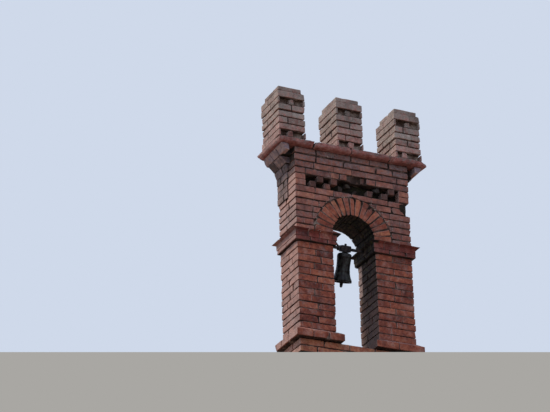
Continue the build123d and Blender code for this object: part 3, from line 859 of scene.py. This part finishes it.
pile = new_pile()
for index in range(VOUSSOIRS):
    for near, far in ((RING[0].y, -0.001), (0.001, RING[1].y)):
        angle = (index + 0.5) * WEDGE + math.radians(dice.uniform(-0.8, 0.8))
        half = (WEDGE * RING_MIDDLE - (dice.choice(FRONT_GAPS) if near < 0 else REAR_GAP)) / 2
        inner = INTRADOS + (dice.uniform(0.0, 0.004) if near < 0 else 0.0)
        outer = RING_OUTER + 0.004 - dice.uniform(0.0, 0.008)
        low, high = Vector((-half, near + dice.uniform(0, 0.005), inner)), Vector((half, far, outer))
        block = box_block(low, high)
        squareness = dice.uniform(0.0, 0.12)
        for vert in block.verts:
            if vert.co.z > RING_MIDDLE:
                vert.co.x *= 1 - squareness
        score(block, 2, [inner + (outer - inner) * share for share in (0.3, 0.65)])
        wear(block, low, high, **(FRONT_WEAR if near < 0 else REAR_WEAR))
        bend_into_ring(block, angle)
        lay(pile, block, any_shade(0.62, 0.12, 0.2, 0.95))
set_piece("arch_ring_bricks", pile, [ring_brick, mortar], "masonry", "old_brick", "arch_voussoirs")

pile = new_pile()
for left, right in ((STILTS[0].x, LEFT_PIER[1].x), (RIGHT_PIER[0].x, STILTS[1].x)):
    for near, far in ((STILTS[0].y, -0.004), (0.004, STILTS[1].y)):
        brick(pile, (left, near, STILTS[0].z + 0.003), (right, far, STILTS[1].z - 0.002))
set_piece("arch_stilt_bricks", pile, [ring_brick, mortar], "masonry", "old_brick", "arch_stilts")

pile = new_pile()
core = frame_solid("arch_mortar")
face_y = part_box("arch_mortar")[1].y
for vert in core.verts:
    arm = Vector((vert.co.x - ARCH_X, 0, vert.co.z - SPRING))
    vert.co.y *= 1 - (0.003 if arm.length > RING_OUTER - 0.002 else 0.007) / face_y
    if vert.co.z > SPRING - 0.001 and arm.length < INTRADOS + 0.006:
        vert.co += arm.normalized() * (INTRADOS + 0.003 - arm.length)
lay(pile, core, 0.05, 0.1, 0.0, finish=1)
for step in range(ARCH_CRUMBS):
    turn = math.radians(dice.uniform(4, 176))
    reach = RING_OUTER + dice.gauss(0.004, 0.005)
    place = on_the_arch(reach, turn, RING[0].y + dice.uniform(0.001, 0.005))
    crumb(pile, place, dice.uniform(0.004, 0.011), dice.uniform(0.0, 0.75), dice.choice((0.0, 0.0, 0.4)))
set_piece("arch_bed_mortar", pile, [old_brick, mortar], "masonry", "lime_mortar", "arch_mortar")


# Spandrels

RING_CLEARANCE = 0.002
SHORTEST_BRICK = 0.01
THINNEST_BRICK = 0.016
SPANDREL_BED = (0.4, 1.05)

# Where the joints of each course show, from the bottom up
SPANDREL_JOINTS = {
    "left": (
        [-0.434],
        [(-0.54, TIGHT_JOINT), -0.434],
        [-0.44],
        [-0.433],
        [(-0.5, TIGHT_JOINT), -0.366],
        [-0.412, -0.25],
        [(-0.4, TIGHT_JOINT), -0.206],
    ),
    "right": (
        [0.41],
        [0.409, (0.52, TIGHT_JOINT)],
        [0.412],
        [0.405, (0.5, TIGHT_JOINT)],
        [0.397],
        [0.25, 0.412],
        [0.2, 0.382],
    ),
}

# The courses of the right spandrel whose outer corner is torn off, and how far
TORN_ROWS = {5: 0.062, 6: 0.052}

# Where crumbs of mortar cling in bunches
CRUMBS = {
    "left": ((-0.362, 1.536), (-0.43, 1.439), (-0.423, 1.334), (-0.22, 1.652), (-0.3, 1.6)),
    "right": ((0.195, 1.668), (0.372, 1.495), (0.413, 1.437), (0.3, 1.585)),
}


def spandrel_brick(pile, low, high, **how):
    """A brick that is cut to the back of the ring where the ring passes through it."""
    low, high = Vector(low), Vector(high)
    clear = EXTRADOS + RING_CLEARANCE
    corners = [(x, z) for x in (low.x, high.x) for z in (low.z, high.z)]
    inside = all(math.hypot(x - ARCH_X, z - SPRING) < clear for x, z in corners)
    over_stilt = high.z < SPRING + 0.001 and abs((low.x + high.x) / 2 - ARCH_X) < RING_OUTER
    if inside or over_stilt or high.x - low.x < SHORTEST_BRICK:
        return
    angles = []
    for step in range(361):
        turn = math.radians(step / 2)
        x, z = ARCH_X + clear * math.cos(turn), SPRING + clear * math.sin(turn)
        if low.x < x < high.x and low.z < z < high.z:
            angles.append(turn)
    block = box_block(low, high)
    if angles:
        turn = (angles[0] + angles[-1]) / 2
        inward = Vector((-math.cos(turn), 0, -math.sin(turn)))
        sagitta = clear * (1 - math.cos((angles[-1] - angles[0]) / 2)) * 0.5
        point = Vector((ARCH_X, 0, SPRING)) - inward * (clear - sagitta)
        cut_away(block, point, inward)
    if not block.faces or block.calc_volume() < THINNEST_BRICK * (high.y - low.y) * (high.z - low.z):
        block.free()
        return
    lay_cut(pile, block, low, high, **how)


for side, way in (("left", 1), ("right", -1)):
    node = side + "_spandrel"
    low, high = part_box(node)
    pile = new_pile()
    outer = low.x if side == "left" else high.x
    for row, joints in enumerate(SPANDREL_JOINTS[side]):
        foot, head = low.z + row * COURSE, low.z + (row + 1) * COURSE
        torn = TORN_ROWS.get(row, 0) if side == "right" else 0
        rise = max((foot + head) / 2 - SPRING, 0)
        ring_half = math.sqrt(max(EXTRADOS**2 - rise**2, 0))
        core_end = ARCH_X - way * max(ring_half - 0.05, 0)
        core_start = outer + way * JOINT_DEPTH
        hollow_low = (outer - 0.02, low.y - 0.01, foot - 0.01)
        hollow_high = (outer + 0.01, -0.06, head + 0.01)
        mortar_block(
            pile,
            (min(core_start, core_end), low.y + JOINT_DEPTH, foot),
            (max(core_start, core_end), high.y - JOINT_DEPTH, head),
            moss=0.25 if torn else 0.1,
            soot=0.35 if torn else 0.0,
            hollows=[(hollow_low, hollow_high, (-torn, 0.02, 0))] if torn else (),
        )
        bottom = foot + BED_JOINT * dice.uniform(*SPANDREL_BED)
        top = head - BED_JOINT * dice.uniform(*SPANDREL_BED)
        split = 0.02 if row % 2 else -0.03
        for near, far, shift in ((low.y, split - 0.004, 0.0), (split + 0.004, high.y, 0.05)):
            stops = [(x + (shift if abs(x - outer) > 0.25 else 0), gap) for x, gap in with_widths(joints)]
            edges = [(low.x, 0.0), *stops, (high.x, 0.0)]
            for (left, left_gap), (right, right_gap) in zip(edges, edges[1:]):
                end = right - right_gap / 2
                here = torn and end == outer and near < 0
                if here:
                    end = outer - torn
                spandrel_brick(
                    pile,
                    (left + left_gap / 2, near + dice.uniform(0, 0.004), bottom),
                    (end, far, top),
                    spalls=2,
                    wobble=0.0034,
                    chips=5 if here else dice.choice((0, 1, 1, 2)),
                    chip_size=0.045 if here else CHIP,
                )
    for x, z in CRUMBS[side]:
        for step in range(6):
            place = (x + dice.uniform(-0.015, 0.015), low.y + 0.003, z + dice.uniform(-0.015, 0.015))
            crumb(pile, place, dice.uniform(0.004, 0.011), dice.uniform(0.4, 1.0), 0.0)
    set_piece(side + "_spandrel_bricks", pile, [old_brick, mortar], "masonry", "old_brick", node)


# Frieze

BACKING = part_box("frieze_backing")
FRIEZE_BLOCKS = 6
PITCH = (BACKING[1].x - BACKING[0].x) / (FRIEZE_BLOCKS + 0.5)
HALF_BLOCK = 0.035

# Blocks by face, row and number: the one that is gone, and how much of the broken ones is
LOST_BLOCKS = {("front", 1, 3)}
BROKEN_BLOCKS = {
    ("front", 0, 2): 0.012,
    ("front", 0, 3): 0.03,
    ("front", 1, 2): 0.018,
    ("front", 1, 4): 0.006,
}

pile = new_pile()
inset = Vector((0.002, 0.004, 0.001))
mortar_block(pile, BACKING[0] + inset, BACKING[1] - inset, moss=0.7, soot=0.4)
set_piece("frieze_backing_rubble", pile, [old_brick, mortar], "masonry", "old_brick", "frieze_backing")

for side in ("left", "right"):
    node = side + "_frieze_end"
    low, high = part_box(node)
    pile = new_pile()
    mortar_core(pile, node)
    half = (high.z - low.z) / 2
    for row in range(2):
        bottom, top = low.z + row * half + 0.003, low.z + (row + 1) * half - 0.003
        split = 0.03 - 0.06 * row
        brick(pile, (low.x, low.y, bottom), (high.x, split - 0.004, top))
        brick(pile, (low.x, split + 0.004, bottom), (high.x, high.y, top))
    set_piece(side + "_frieze_end_bricks", pile, [old_brick, mortar], "masonry", "old_brick", node)

for face in ("front", "rear"):
    for row, row_name in enumerate(("lower", "upper")):
        node = f"{face}_frieze_blocks_{row_name}"
        low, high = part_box(node)
        pile = new_pile()
        for index in range(FRIEZE_BLOCKS):
            block = (face, row, index)
            if block in LOST_BLOCKS:
                continue
            middle = BACKING[0].x + PITCH * (0.5 + row / 2 + index) + dice.uniform(-0.003, 0.003)
            lost = BROKEN_BLOCKS.get(block, 0.0)
            brick(
                pile,
                (middle - HALF_BLOCK, low.y + lost, low.z + 0.001),
                (middle + HALF_BLOCK, high.y, high.z - 0.001),
                shade=dice.uniform(0.15, 0.5),
                moss=dice.uniform(0.15, 0.45) + (0.35 if lost else 0.0),
                soot=dice.uniform(0.1, 0.4),
                chips=6 if lost else 2,
                chip_size=0.036 if lost else 0.016,
                arris=0.0035,
                wobble=0.0025,
                spalls=0,
            )
        set_piece(node + "_bricks", pile, [old_brick, mortar], "masonry", "old_brick", node)


# Upper wall

# Where the joints of each course show, from the bottom up
UPPER_FRONT = (
    [-0.504, (-0.23, TIGHT_JOINT), -0.137, 0.02, 0.085, 0.26, (0.45, TIGHT_JOINT)],
    [-0.413, (-0.2, TIGHT_JOINT), 0.0, 0.148, (0.33, TIGHT_JOINT), 0.496],
    [-0.384, (-0.089, 0.006), (0.09, TIGHT_JOINT), 0.267, (0.45, TIGHT_JOINT)],
    [(-0.384, 0.006), (-0.2, TIGHT_JOINT), -0.005, (0.2, TIGHT_JOINT), (0.405, 0.012)],
)
UPPER_REAR = (
    [-0.52, -0.24, 0.05, 0.31],
    [-0.39, -0.1, 0.17, 0.44],
    [-0.5, -0.25, 0.02, 0.29],
    [-0.4, -0.12, 0.15, 0.42],
)
UPPER_COURSES = len(UPPER_FRONT)
UPPER_RISE = (WALL[1].z - WALL[0].z) / UPPER_COURSES

# The stretch of the lowest course that is broken, over the lost block of the frieze
BROKEN_SPAN = (-0.062, 0.152)
BROKEN_DEPTH = 0.006

# Where the crumbs under the cornice cling
UPPER_CRUMBS_X = (-0.28, -0.15)
UPPER_CRUMBS_Z = (2.075, 2.138)

pile = new_pile()
low, high = WALL
hollow_low = (BROKEN_SPAN[0], low.y - 0.01, low.z - 0.01)
hollow_high = (BROKEN_SPAN[1], -0.1, low.z + UPPER_RISE * 0.8)
mortar_core(pile, "upper_wall", hollows=[(hollow_low, hollow_high, (0, 0.022, 0))])
for row in range(UPPER_COURSES):
    bottom, top = low.z + row * UPPER_RISE, low.z + (row + 1) * UPPER_RISE
    spans = [(low.x, high.x, 0.0)]
    if row == 0:
        spans = [(low.x, BROKEN_SPAN[0], 0.0), (*BROKEN_SPAN, BROKEN_DEPTH), (BROKEN_SPAN[1], high.x, 0.0)]
    for left, right, lost in spans:
        course_of_bricks(
            pile,
            (left, low.y + lost, bottom),
            (right, high.y, top),
            [joint for joint in with_widths(UPPER_FRONT[row]) if left + 0.01 < joint[0] < right - 0.01],
            [joint for joint in UPPER_REAR[row] if left + 0.03 < joint < right - 0.03],
            0.03 - 0.06 * (row % 2),
            bed=(0.6, 1.35),
            spalls=3,
            wobble=0.0036,
            soot=0.03 * row,
            moss=0.4 if lost else (0.12 if row == 3 else 0.02),
            # The ends' side faces under the consoles get moss and painted shade, darker towards the cornice
            side_moss=0.25 + 0.2 * row,
            chips=6 if lost else dice.choice((0, 1, 2)),
            chip_size=0.045 if lost else CHIP,
            setback=0.024 if lost else SETBACK,
        )
for step in range(26):
    place = (dice.uniform(*UPPER_CRUMBS_X), low.y + 0.002, dice.uniform(*UPPER_CRUMBS_Z))
    crumb(pile, place, dice.uniform(0.004, 0.013), dice.uniform(0.5, 1.0), 0.0)
set_piece("upper_wall_bricks", pile, [old_brick, mortar], "masonry", "old_brick", "upper_wall")


# Consoles and side fillets

# How far the consoles lean out past the wall at each step, and how far the fillets over them do
CONSOLE_REACHES = (0.012, 0.0154, 0.0393, 0.104)
FILLET_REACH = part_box("right_side_fillet")[1].x - WALL[1].x
FILLET_BRICK = 0.086
FILLET_SPLITS = (-0.075, 0.06)
FILLET_SETBACK = 0.07
CORE_INSET = 0.006


def leaning_block(way, near, far, inner_reach, low_reach, high_reach, bottom, top):
    """The end of a course beside the wall, whose outer face leans from one reach to another."""
    start, end = way * (WALL[1].x + inner_reach), way * (WALL[1].x + high_reach)
    block = box_block((min(start, end), near, bottom), (max(start, end), far, top))
    for vert in block.verts:
        if abs(vert.co.x - end) < 1e-6 and vert.co.z < (bottom + top) / 2:
            vert.co.x = way * (WALL[1].x + low_reach)
    return block


def leaning_brick(pile, way, near, far, inner_reach, low_reach, high_reach, bottom, top, **how):
    setback = dice.uniform(0, 0.004)
    reaches = (inner_reach, low_reach - setback, high_reach - setback)
    block = leaning_block(way, near, far, *reaches, bottom, top)
    start, end = way * (WALL[1].x + inner_reach), way * (WALL[1].x + high_reach)
    lay_cut(pile, block, (min(start, end), near, bottom), (max(start, end), far, top), **how)


for side, way in (("left", -1), ("right", 1)):
    node = side + "_console"
    low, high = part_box(node)
    pile = new_pile()
    courses = [(low.z + k * COURSE, low.z + (k + 1) * COURSE, 0.012, 0.012, 0.163) for k in range(3)]
    for step in range(1, UPPER_COURSES):
        foot = WALL[0].z + (step - 1) * UPPER_RISE
        reaches = CONSOLE_REACHES[step - 1:step + 1]
        courses.append((foot, foot + UPPER_RISE, *reaches, 0.112 + (3 - step) * 0.017))
    for number, (bottom, top, low_reach, high_reach, setback) in enumerate(courses):
        near, far = WALL[0].y + setback, WALL[1].y
        split = (near + far) / 2 + (0.03 if number % 2 else -0.02)
        reaches = (-0.01, low_reach - 0.007, high_reach - 0.007)
        core = leaning_block(way, near + CORE_INSET, far - CORE_INSET, *reaches, bottom, top)
        lay(pile, core, 0.0, 0.45, 0.3, finish=1)
        for start, end in ((near, split - 0.003), (split + 0.003, far)):
            damp = {"moss": dice.uniform(0.2, 0.42), "soot": dice.uniform(0.1, 0.35)}
            reaches = (-0.05, low_reach, high_reach)
            leaning_brick(pile, way, start, end, *reaches, bottom + 0.003, top - 0.003, chips=2, **damp)
    set_piece(side + "_console_bricks", pile, [console_brick, mortar], "masonry", "old_brick", node)

    node = side + "_side_fillet"
    low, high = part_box(node)
    pile = new_pile()
    foot, head = low.z + 0.002, high.z - 0.002
    near, far = WALL[0].y + FILLET_SETBACK, WALL[1].y
    reaches = (-0.01, 0.09, FILLET_REACH - 0.02)
    core = leaning_block(way, near + CORE_INSET, far - CORE_INSET, *reaches, low.z, high.z)
    lay(pile, core, 0.0, 0.5, 0.3, finish=1)
    stops = [low.y, *FILLET_SPLITS, high.y]
    reaches = (FILLET_REACH - FILLET_BRICK, CONSOLE_REACHES[-1], FILLET_REACH)
    for start, end in zip(stops, stops[1:]):
        leaning_brick(pile, way, start + 0.002, end - 0.002, *reaches, foot, head, moss=0.1, chips=2)
    reaches = (-0.05, FILLET_REACH - 0.09, FILLET_REACH - 0.088)
    leaning_brick(pile, way, near, far, *reaches, foot, head, moss=0.6, soot=0.3, chips=1)
    set_piece(side + "_side_fillet_bricks", pile, [console_brick, mortar], "masonry", "old_brick", node)


# Cornice

# The moulded units from left to right, each with its own shade
CORNICE_UNITS = {
    "cornice_left": 0.5,
    "cornice_mid_left": 0.62,
    "cornice_mid_right": 0.55,
    "cornice_right": 0.45,
}
CORNICE = (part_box("cornice_left")[0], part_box("cornice_right")[1])
ROLL = (0.030, 5)
TOP_EDGE = (0.012, 3)
UNIT_CUTS = 9


def rolled_course():
    """The whole cornice as one bar, with a roll along its bottom and a blunt top edge."""
    block = box_block(*CORNICE)
    bottom = [edge for edge in block.edges if all(vert.co.z < CORNICE[0].z + 1e-5 for vert in edge.verts)]
    top = [edge for edge in block.edges if all(vert.co.z > CORNICE[1].z - 1e-5 for vert in edge.verts)]
    for edges, (radius, segments) in ((bottom, ROLL), (top, TOP_EDGE)):
        bmesh.ops.bevel(
            block,
            geom=edges,
            offset=radius,
            offset_type="OFFSET",
            segments=segments,
            profile=0.5,
            affect="EDGES",
            material=-1,
        )
    return block


for node, shade in CORNICE_UNITS.items():
    low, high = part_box(node)
    pile = new_pile()
    block = rolled_course()
    cut_to(block, low, high)
    score(block, 0, [low.x + (high.x - low.x) * (k + 0.5) / UNIT_CUTS for k in range(UNIT_CUTS)])
    lay_cut(pile, block, low, high, shade, 0.06, 0.03, chips=6, chip_size=0.035, wobble=0.006, arris=0.003)
    if node == "cornice_mid_left":
        inset = Vector((0.03, 0.035, 0.012))
        mortar_block(pile, CORNICE[0] + inset, CORNICE[1] - inset, moss=0.5, soot=0.3)
    set_piece(node + "_moulding", pile, [cornice_clay, mortar], "masonry", "moulded_terracotta", node)


# Merlons

MERLON_COURSE = 0.071
MERLON_COURSES = 6
MERLON_INSET = JOINT_DEPTH * 1.9
HEADER = 0.062
HEADER_SHIFT = {"left": -0.020, "middle": 0.013, "right": -0.040}
POCKET_DEPTH = 0.062

# The pocket courses: how thin their end walls are, how far the header sits back, and its shift's share
BOTTOM_POCKET = ((0.02, 0.012), 0.0, 1.0)
TOP_POCKET = ((0.018, 0.018), 0.016, -0.3)

# Where the front joint falls in the courses between, as a share of the width
MERLON_JOINTS = (0.5, 0.64, 0.34, 0.52)

# The cap's lower slab rises to the step, and its upper one stops short of the right and rear
CAP_STEP = 0.070
CAP_CUT = (0.033, 0.070)
SLAB_WEAR = {"setback": 0.002, "wobble": 0.0028}


def pocket_course(pile, low, high, bottom, top, header, thin, sunk):
    """A course that is open front and rear, but for its thin end walls and one header."""
    mortar_block(
        pile,
        (low.x + thin[0] - 0.007, low.y + POCKET_DEPTH - 0.012, low.z),
        (high.x - thin[1] + 0.007, high.y - POCKET_DEPTH + 0.012, high.z),
        moss=0.1,
        shade=0.55,
    )
    split = (low.y + high.y) / 2 + dice.uniform(-0.05, 0.05)
    for left, right in ((low.x, low.x + thin[0]), (high.x - thin[1], high.x)):
        for near, far in ((low.y, split - 0.002), (split + 0.002, high.y)):
            corners = (left, near, bottom), (right, far, top)
            wall = box_block(*corners)
            lay_cut(pile, wall, *corners, moss=0.1, arris=0.002, chips=1, chip_size=0.01, wobble=0.002)
    reach = POCKET_DEPTH + 0.01
    for near, far in ((low.y + sunk, low.y + reach), (high.y - reach, high.y - sunk)):
        corners = (header - HEADER / 2, near, bottom), (header + HEADER / 2, far, top)
        brick(pile, *corners, moss=0.05, soot=8 * sunk, chips=3, arris=0.004)


for number, side in enumerate(("left", "middle", "right")):
    node = side + "_merlon"
    low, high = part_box(node)
    middle = (low.x + high.x) / 2
    pile = new_pile()
    inset = Vector((MERLON_INSET, MERLON_INSET, MERLON_COURSE))
    mortar_block(pile, low + inset, high - inset, moss=0.1, shade=0.15)
    for row in range(MERLON_COURSES):
        foot = Vector((low.x, low.y, low.z + row * MERLON_COURSE))
        head = Vector((high.x, high.y, low.z + (row + 1) * MERLON_COURSE))
        bottom = foot.z + BED_JOINT * dice.uniform(0.4, 0.8)
        top = head.z - BED_JOINT * dice.uniform(0.4, 0.8)
        if row in (0, MERLON_COURSES - 1):
            thin, sunk, lean = BOTTOM_POCKET if row == 0 else TOP_POCKET
            header = middle + HEADER_SHIFT[side] * lean
            pocket_course(pile, foot, head, bottom, top, header, thin, sunk)
            continue
        share = MERLON_JOINTS[(row + number) % 4]
        course_of_bricks(
            pile,
            foot,
            head,
            [(low.x + (high.x - low.x) * share, TIGHT_JOINT if (row + number) % 2 else 0.004)],
            [low.x + (high.x - low.x) * (1.02 - share)],
            (low.y + high.y) / 2 + (0.06 if row % 2 else -0.07),
            TIGHT_JOINT,
            bed=(0.5, 1.0),
            moss=0.05,
            setback=0.009,
            wobble=0.003,
            chips=dice.choice((0, 0, 1)),
            chip_size=0.014,
            spalls=2,
        )
    set_piece(side + "_merlon_bricks", pile, [merlon_brick, mortar], "masonry", "old_brick", node)

    node = side + "_merlon_cap"
    low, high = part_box(node)
    step = low.z + CAP_STEP
    pile = new_pile()
    split = (low.y + high.y) / 2 + 0.04
    band_low, band_high = Vector((low.x, low.y, low.z + 0.003)), Vector((high.x, split - 0.002, step - 0.001))
    row_of_bricks(pile, band_low, band_high, [(middle + 0.03, TIGHT_JOINT)], **SLAB_WEAR)
    brick(pile, (low.x, split + 0.002, low.z + 0.003), (high.x, high.y, step - 0.001), **SLAB_WEAR)
    core_high = (high.x - 0.01, high.y - 0.01, step - 0.006)
    mortar_block(pile, (low.x + 0.01, low.y + 0.01, low.z), core_high, shade=0.3)
    top_low = Vector((low.x + 0.006, low.y + 0.006, step - 0.001))
    top_high = Vector((high.x - CAP_CUT[0], high.y - CAP_CUT[1], high.z))
    split = (top_low.y + top_high.y) / 2 - 0.03
    brick(pile, top_low, (top_high.x, split - 0.001, top_high.z), arris=0.006, **SLAB_WEAR)
    brick(pile, (top_low.x, split + 0.001, top_low.z), top_high, arris=0.006, **SLAB_WEAR)
    if side == "middle":
        for k in range(9):
            place = (high.x + 0.008, dice.uniform(-0.2, 0.1), high.z - 0.12 - 0.4 * k / 9)
            crumb(pile, place, 0.004, 0.6, 0.3)
    name = side + "_merlon_cap_bricks"
    set_piece(name, pile, [merlon_brick, mortar], "masonry", "moulded_terracotta", node)


# Bell and ironwork

BELL_SWING = math.radians(19)
BELL_STEPS = 72
PIVOT = Vector(next(joint["pos_m"] for joint in frame["joints"] if joint["name"] == "bell_swing"))

# The bell's outline from the shoulder down and back up inside: its radius, and the drop from the pivot
BELL_SHOULDER = [
    (0.0, 0.040),
    (0.036, 0.0401),
    (0.049, 0.042),
    (0.059, 0.046),
    (0.066, 0.052),
    (0.0698, 0.060),
    (0.071, 0.070),
]
BELL_REEDS = [(0.071, 0.075), (0.0727, 0.0775), (0.0727, 0.0805), (0.0707, 0.083)]
BELL_WAIST = [(0.0697, 0.100), (0.0678, 0.130), (0.0668, 0.165), (0.0675, 0.195)]
BELL_FLARE = [
    (0.0695, 0.214),
    (0.0715, 0.217),
    (0.072, 0.2205),
    (0.071, 0.223),
    (0.0745, 0.245),
    (0.081, 0.268),
    (0.0895, 0.289),
]
BELL_BOW = [(0.0942, 0.2985), (0.0968, 0.303), (0.0982, 0.3085), (0.0989, 0.316), (0.099, 0.325)]
BELL_INSIDE = [
    (0.083, 0.3248),
    (0.0795, 0.314),
    (0.072, 0.286),
    (0.0615, 0.252),
    (0.0545, 0.211),
    (0.052, 0.150),
    (0.052, 0.082),
    (0.046, 0.066),
    (0.034, 0.0595),
    (0.0, 0.0585),
]
BELL_OUTLINE = BELL_SHOULDER + BELL_REEDS + BELL_WAIST + BELL_FLARE + BELL_BOW + BELL_INSIDE

bell = bmesh.new()
outline = [bell.verts.new((radius, 0, -drop)) for radius, drop in BELL_OUTLINE]
run = [bell.edges.new(pair) for pair in zip(outline, outline[1:])]
bmesh.ops.spin(
    bell,
    geom=outline + run,
    cent=(0, 0, 0),
    axis=(0, 0, 1),
    angle=2 * math.pi,
    steps=BELL_STEPS,
    use_merge=True,
)
bmesh.ops.remove_doubles(bell, verts=bell.verts, dist=1e-6)
bmesh.ops.recalc_face_normals(bell, faces=bell.faces)
bmesh.ops.rotate(bell, cent=(0, 0, 0), matrix=Matrix.Rotation(BELL_SWING, 3, "X"), verts=bell.verts)
bmesh.ops.translate(bell, vec=PIVOT, verts=bell.verts)
for face in bell.faces:
    face.smooth = True
set_piece("cast_bell", bell, [bronze], "bell", "bell_bronze", "bell")

IRONWORK = ("hanging_bar", "bar_stay", "headstock", "hanger_nut", "clapper", "clapper_eye")
for metal, nodes in ((iron, IRONWORK), (bronze, ("bell_crown",))):
    for node in nodes:
        frame["nodes"][node].data.materials.clear()
        frame["nodes"][node].data.materials.append(metal)


# Floor, light and camera

FLOOR_EDGE = -0.372
FLOOR_REACH = 30
FLOOR_DROP = -0.002
FLOOR_TURN = math.radians(-21.363)
SUN_SPREAD = math.radians(9)
SUN_HEIGHT = math.radians(56)
SUN_BEHIND = math.radians(12)

# The photograph's camera: what its lens sees, where it stands, and its yaw, rise and roll in degrees
PHOTO_WIDTH_PIXELS = 550
FOCAL_PIXELS = 2371.77
SENSOR_MILLIMETRES = 36
CAMERA_PLACE = Vector((-9.6487, -18.5892, -8.2759))
CAMERA_TURN = (25.5798, 25.4955, -1.5798)


def floor_sheet(name, near, far, underside):
    """A pale matt sheet, square to the camera. From below it is clear, or shows the underside's tone."""
    material = bpy.data.materials.new(name)
    tree = empty_tree(material)
    seen = add_node(tree, "LightPath").outputs["Is Camera Ray"]
    tone = add_node(tree, "Mix", {"data_type": "RGBA", 6: linear("#8d8279"), 7: linear("#cfccc6")}, {0: seen})
    top = add_node(tree, "BsdfDiffuse", links={"Color": tone})
    if underside:
        below = add_node(tree, "Emission", {"Color": linear(underside)}, {"Strength": seen})
    else:
        below = add_node(tree, "BsdfTransparent")
    side = add_node(tree, "NewGeometry").outputs["Backfacing"]
    mixed = add_node(tree, "MixShader", links={0: side, 1: top, 2: below})
    add_node(tree, "OutputMaterial", links={"Surface": mixed})
    sheet = bmesh.new()
    bmesh.ops.create_grid(sheet, x_segments=1, y_segments=1, size=1)
    bmesh.ops.scale(sheet, vec=(FLOOR_REACH, (far - near) / 2, 1), verts=sheet.verts)
    bmesh.ops.translate(sheet, vec=(0, (near + far) / 2, FLOOR_DROP), verts=sheet.verts)
    bmesh.ops.rotate(sheet, cent=(0, 0, 0), matrix=Matrix.Rotation(FLOOR_TURN, 3, "Z"), verts=sheet.verts)
    mesh = bpy.data.meshes.new(name)
    sheet.to_mesh(mesh)
    sheet.free()
    mesh.materials.append(material)
    floor = bpy.data.objects.new(name, mesh)
    bpy.context.scene.collection.objects.link(floor)


def soft_light():
    """A pale sky that darkens towards the ground, and a soft sun high on the left."""
    world = bpy.data.worlds.new("studio")
    bpy.context.scene.world = world
    tree = empty_tree(world)
    way = add_node(tree, "TexCoord").outputs["Generated"]
    rise = add_node(tree, "SeparateXYZ", links={0: way}).outputs["Z"]
    glow = add_node(tree, "MapRange", from_to(-0.15, 0.35, 0.05, 1.35), {0: rise})
    fill = add_node(tree, "Background", {"Color": linear("#d8e3ff")}, {"Strength": glow})
    backdrop = add_node(tree, "Background", {"Color": linear("#cfd9ea"), "Strength": 1.0})
    seen = add_node(tree, "LightPath").outputs["Is Camera Ray"]
    mixed = add_node(tree, "MixShader", links={0: seen, 1: fill, 2: backdrop})
    add_node(tree, "OutputWorld", links={"Surface": mixed})

    lamp = bpy.data.lights.new("key", "SUN")
    lamp.energy = 2.7
    lamp.angle = SUN_SPREAD
    lamp.color = linear("#ffeede")[:3]
    key = bpy.data.objects.new("key", lamp)
    bpy.context.scene.collection.objects.link(key)
    level = math.cos(SUN_HEIGHT)
    source = Vector((-level * math.cos(SUN_BEHIND), level * math.sin(SUN_BEHIND), math.sin(SUN_HEIGHT)))
    key.rotation_euler = source.to_track_quat("Z", "Y").to_euler()


def photo_camera():
    lens = bpy.data.cameras.new("photo_camera")
    lens.sensor_fit = "HORIZONTAL"
    lens.sensor_width = SENSOR_MILLIMETRES
    lens.lens = FOCAL_PIXELS / PHOTO_WIDTH_PIXELS * SENSOR_MILLIMETRES
    lens.clip_end = 200
    camera = bpy.data.objects.new("photo_camera", lens)
    bpy.context.scene.collection.objects.link(camera)
    yaw, rise, roll = (math.radians(degrees) for degrees in CAMERA_TURN)
    ahead = Vector((math.sin(yaw) * math.cos(rise), math.cos(yaw) * math.cos(rise), math.sin(rise)))
    right = Vector((math.cos(yaw), -math.sin(yaw), 0))
    up = right.cross(ahead)
    right, up = right * math.cos(roll) + up * math.sin(roll), up * math.cos(roll) - right * math.sin(roll)
    turn = Matrix((right, up, -ahead)).transposed().to_4x4()
    camera.matrix_world = Matrix.Translation(CAMERA_PLACE) @ turn
    bpy.context.scene.camera = camera


floor_sheet("floor", FLOOR_EDGE, FLOOR_REACH, "#a9a7a3")
floor_sheet("floor_in_front", -FLOOR_REACH, FLOOR_EDGE, None)
soft_light()
photo_camera()
bpy.context.scene.view_settings.view_transform = "Standard"
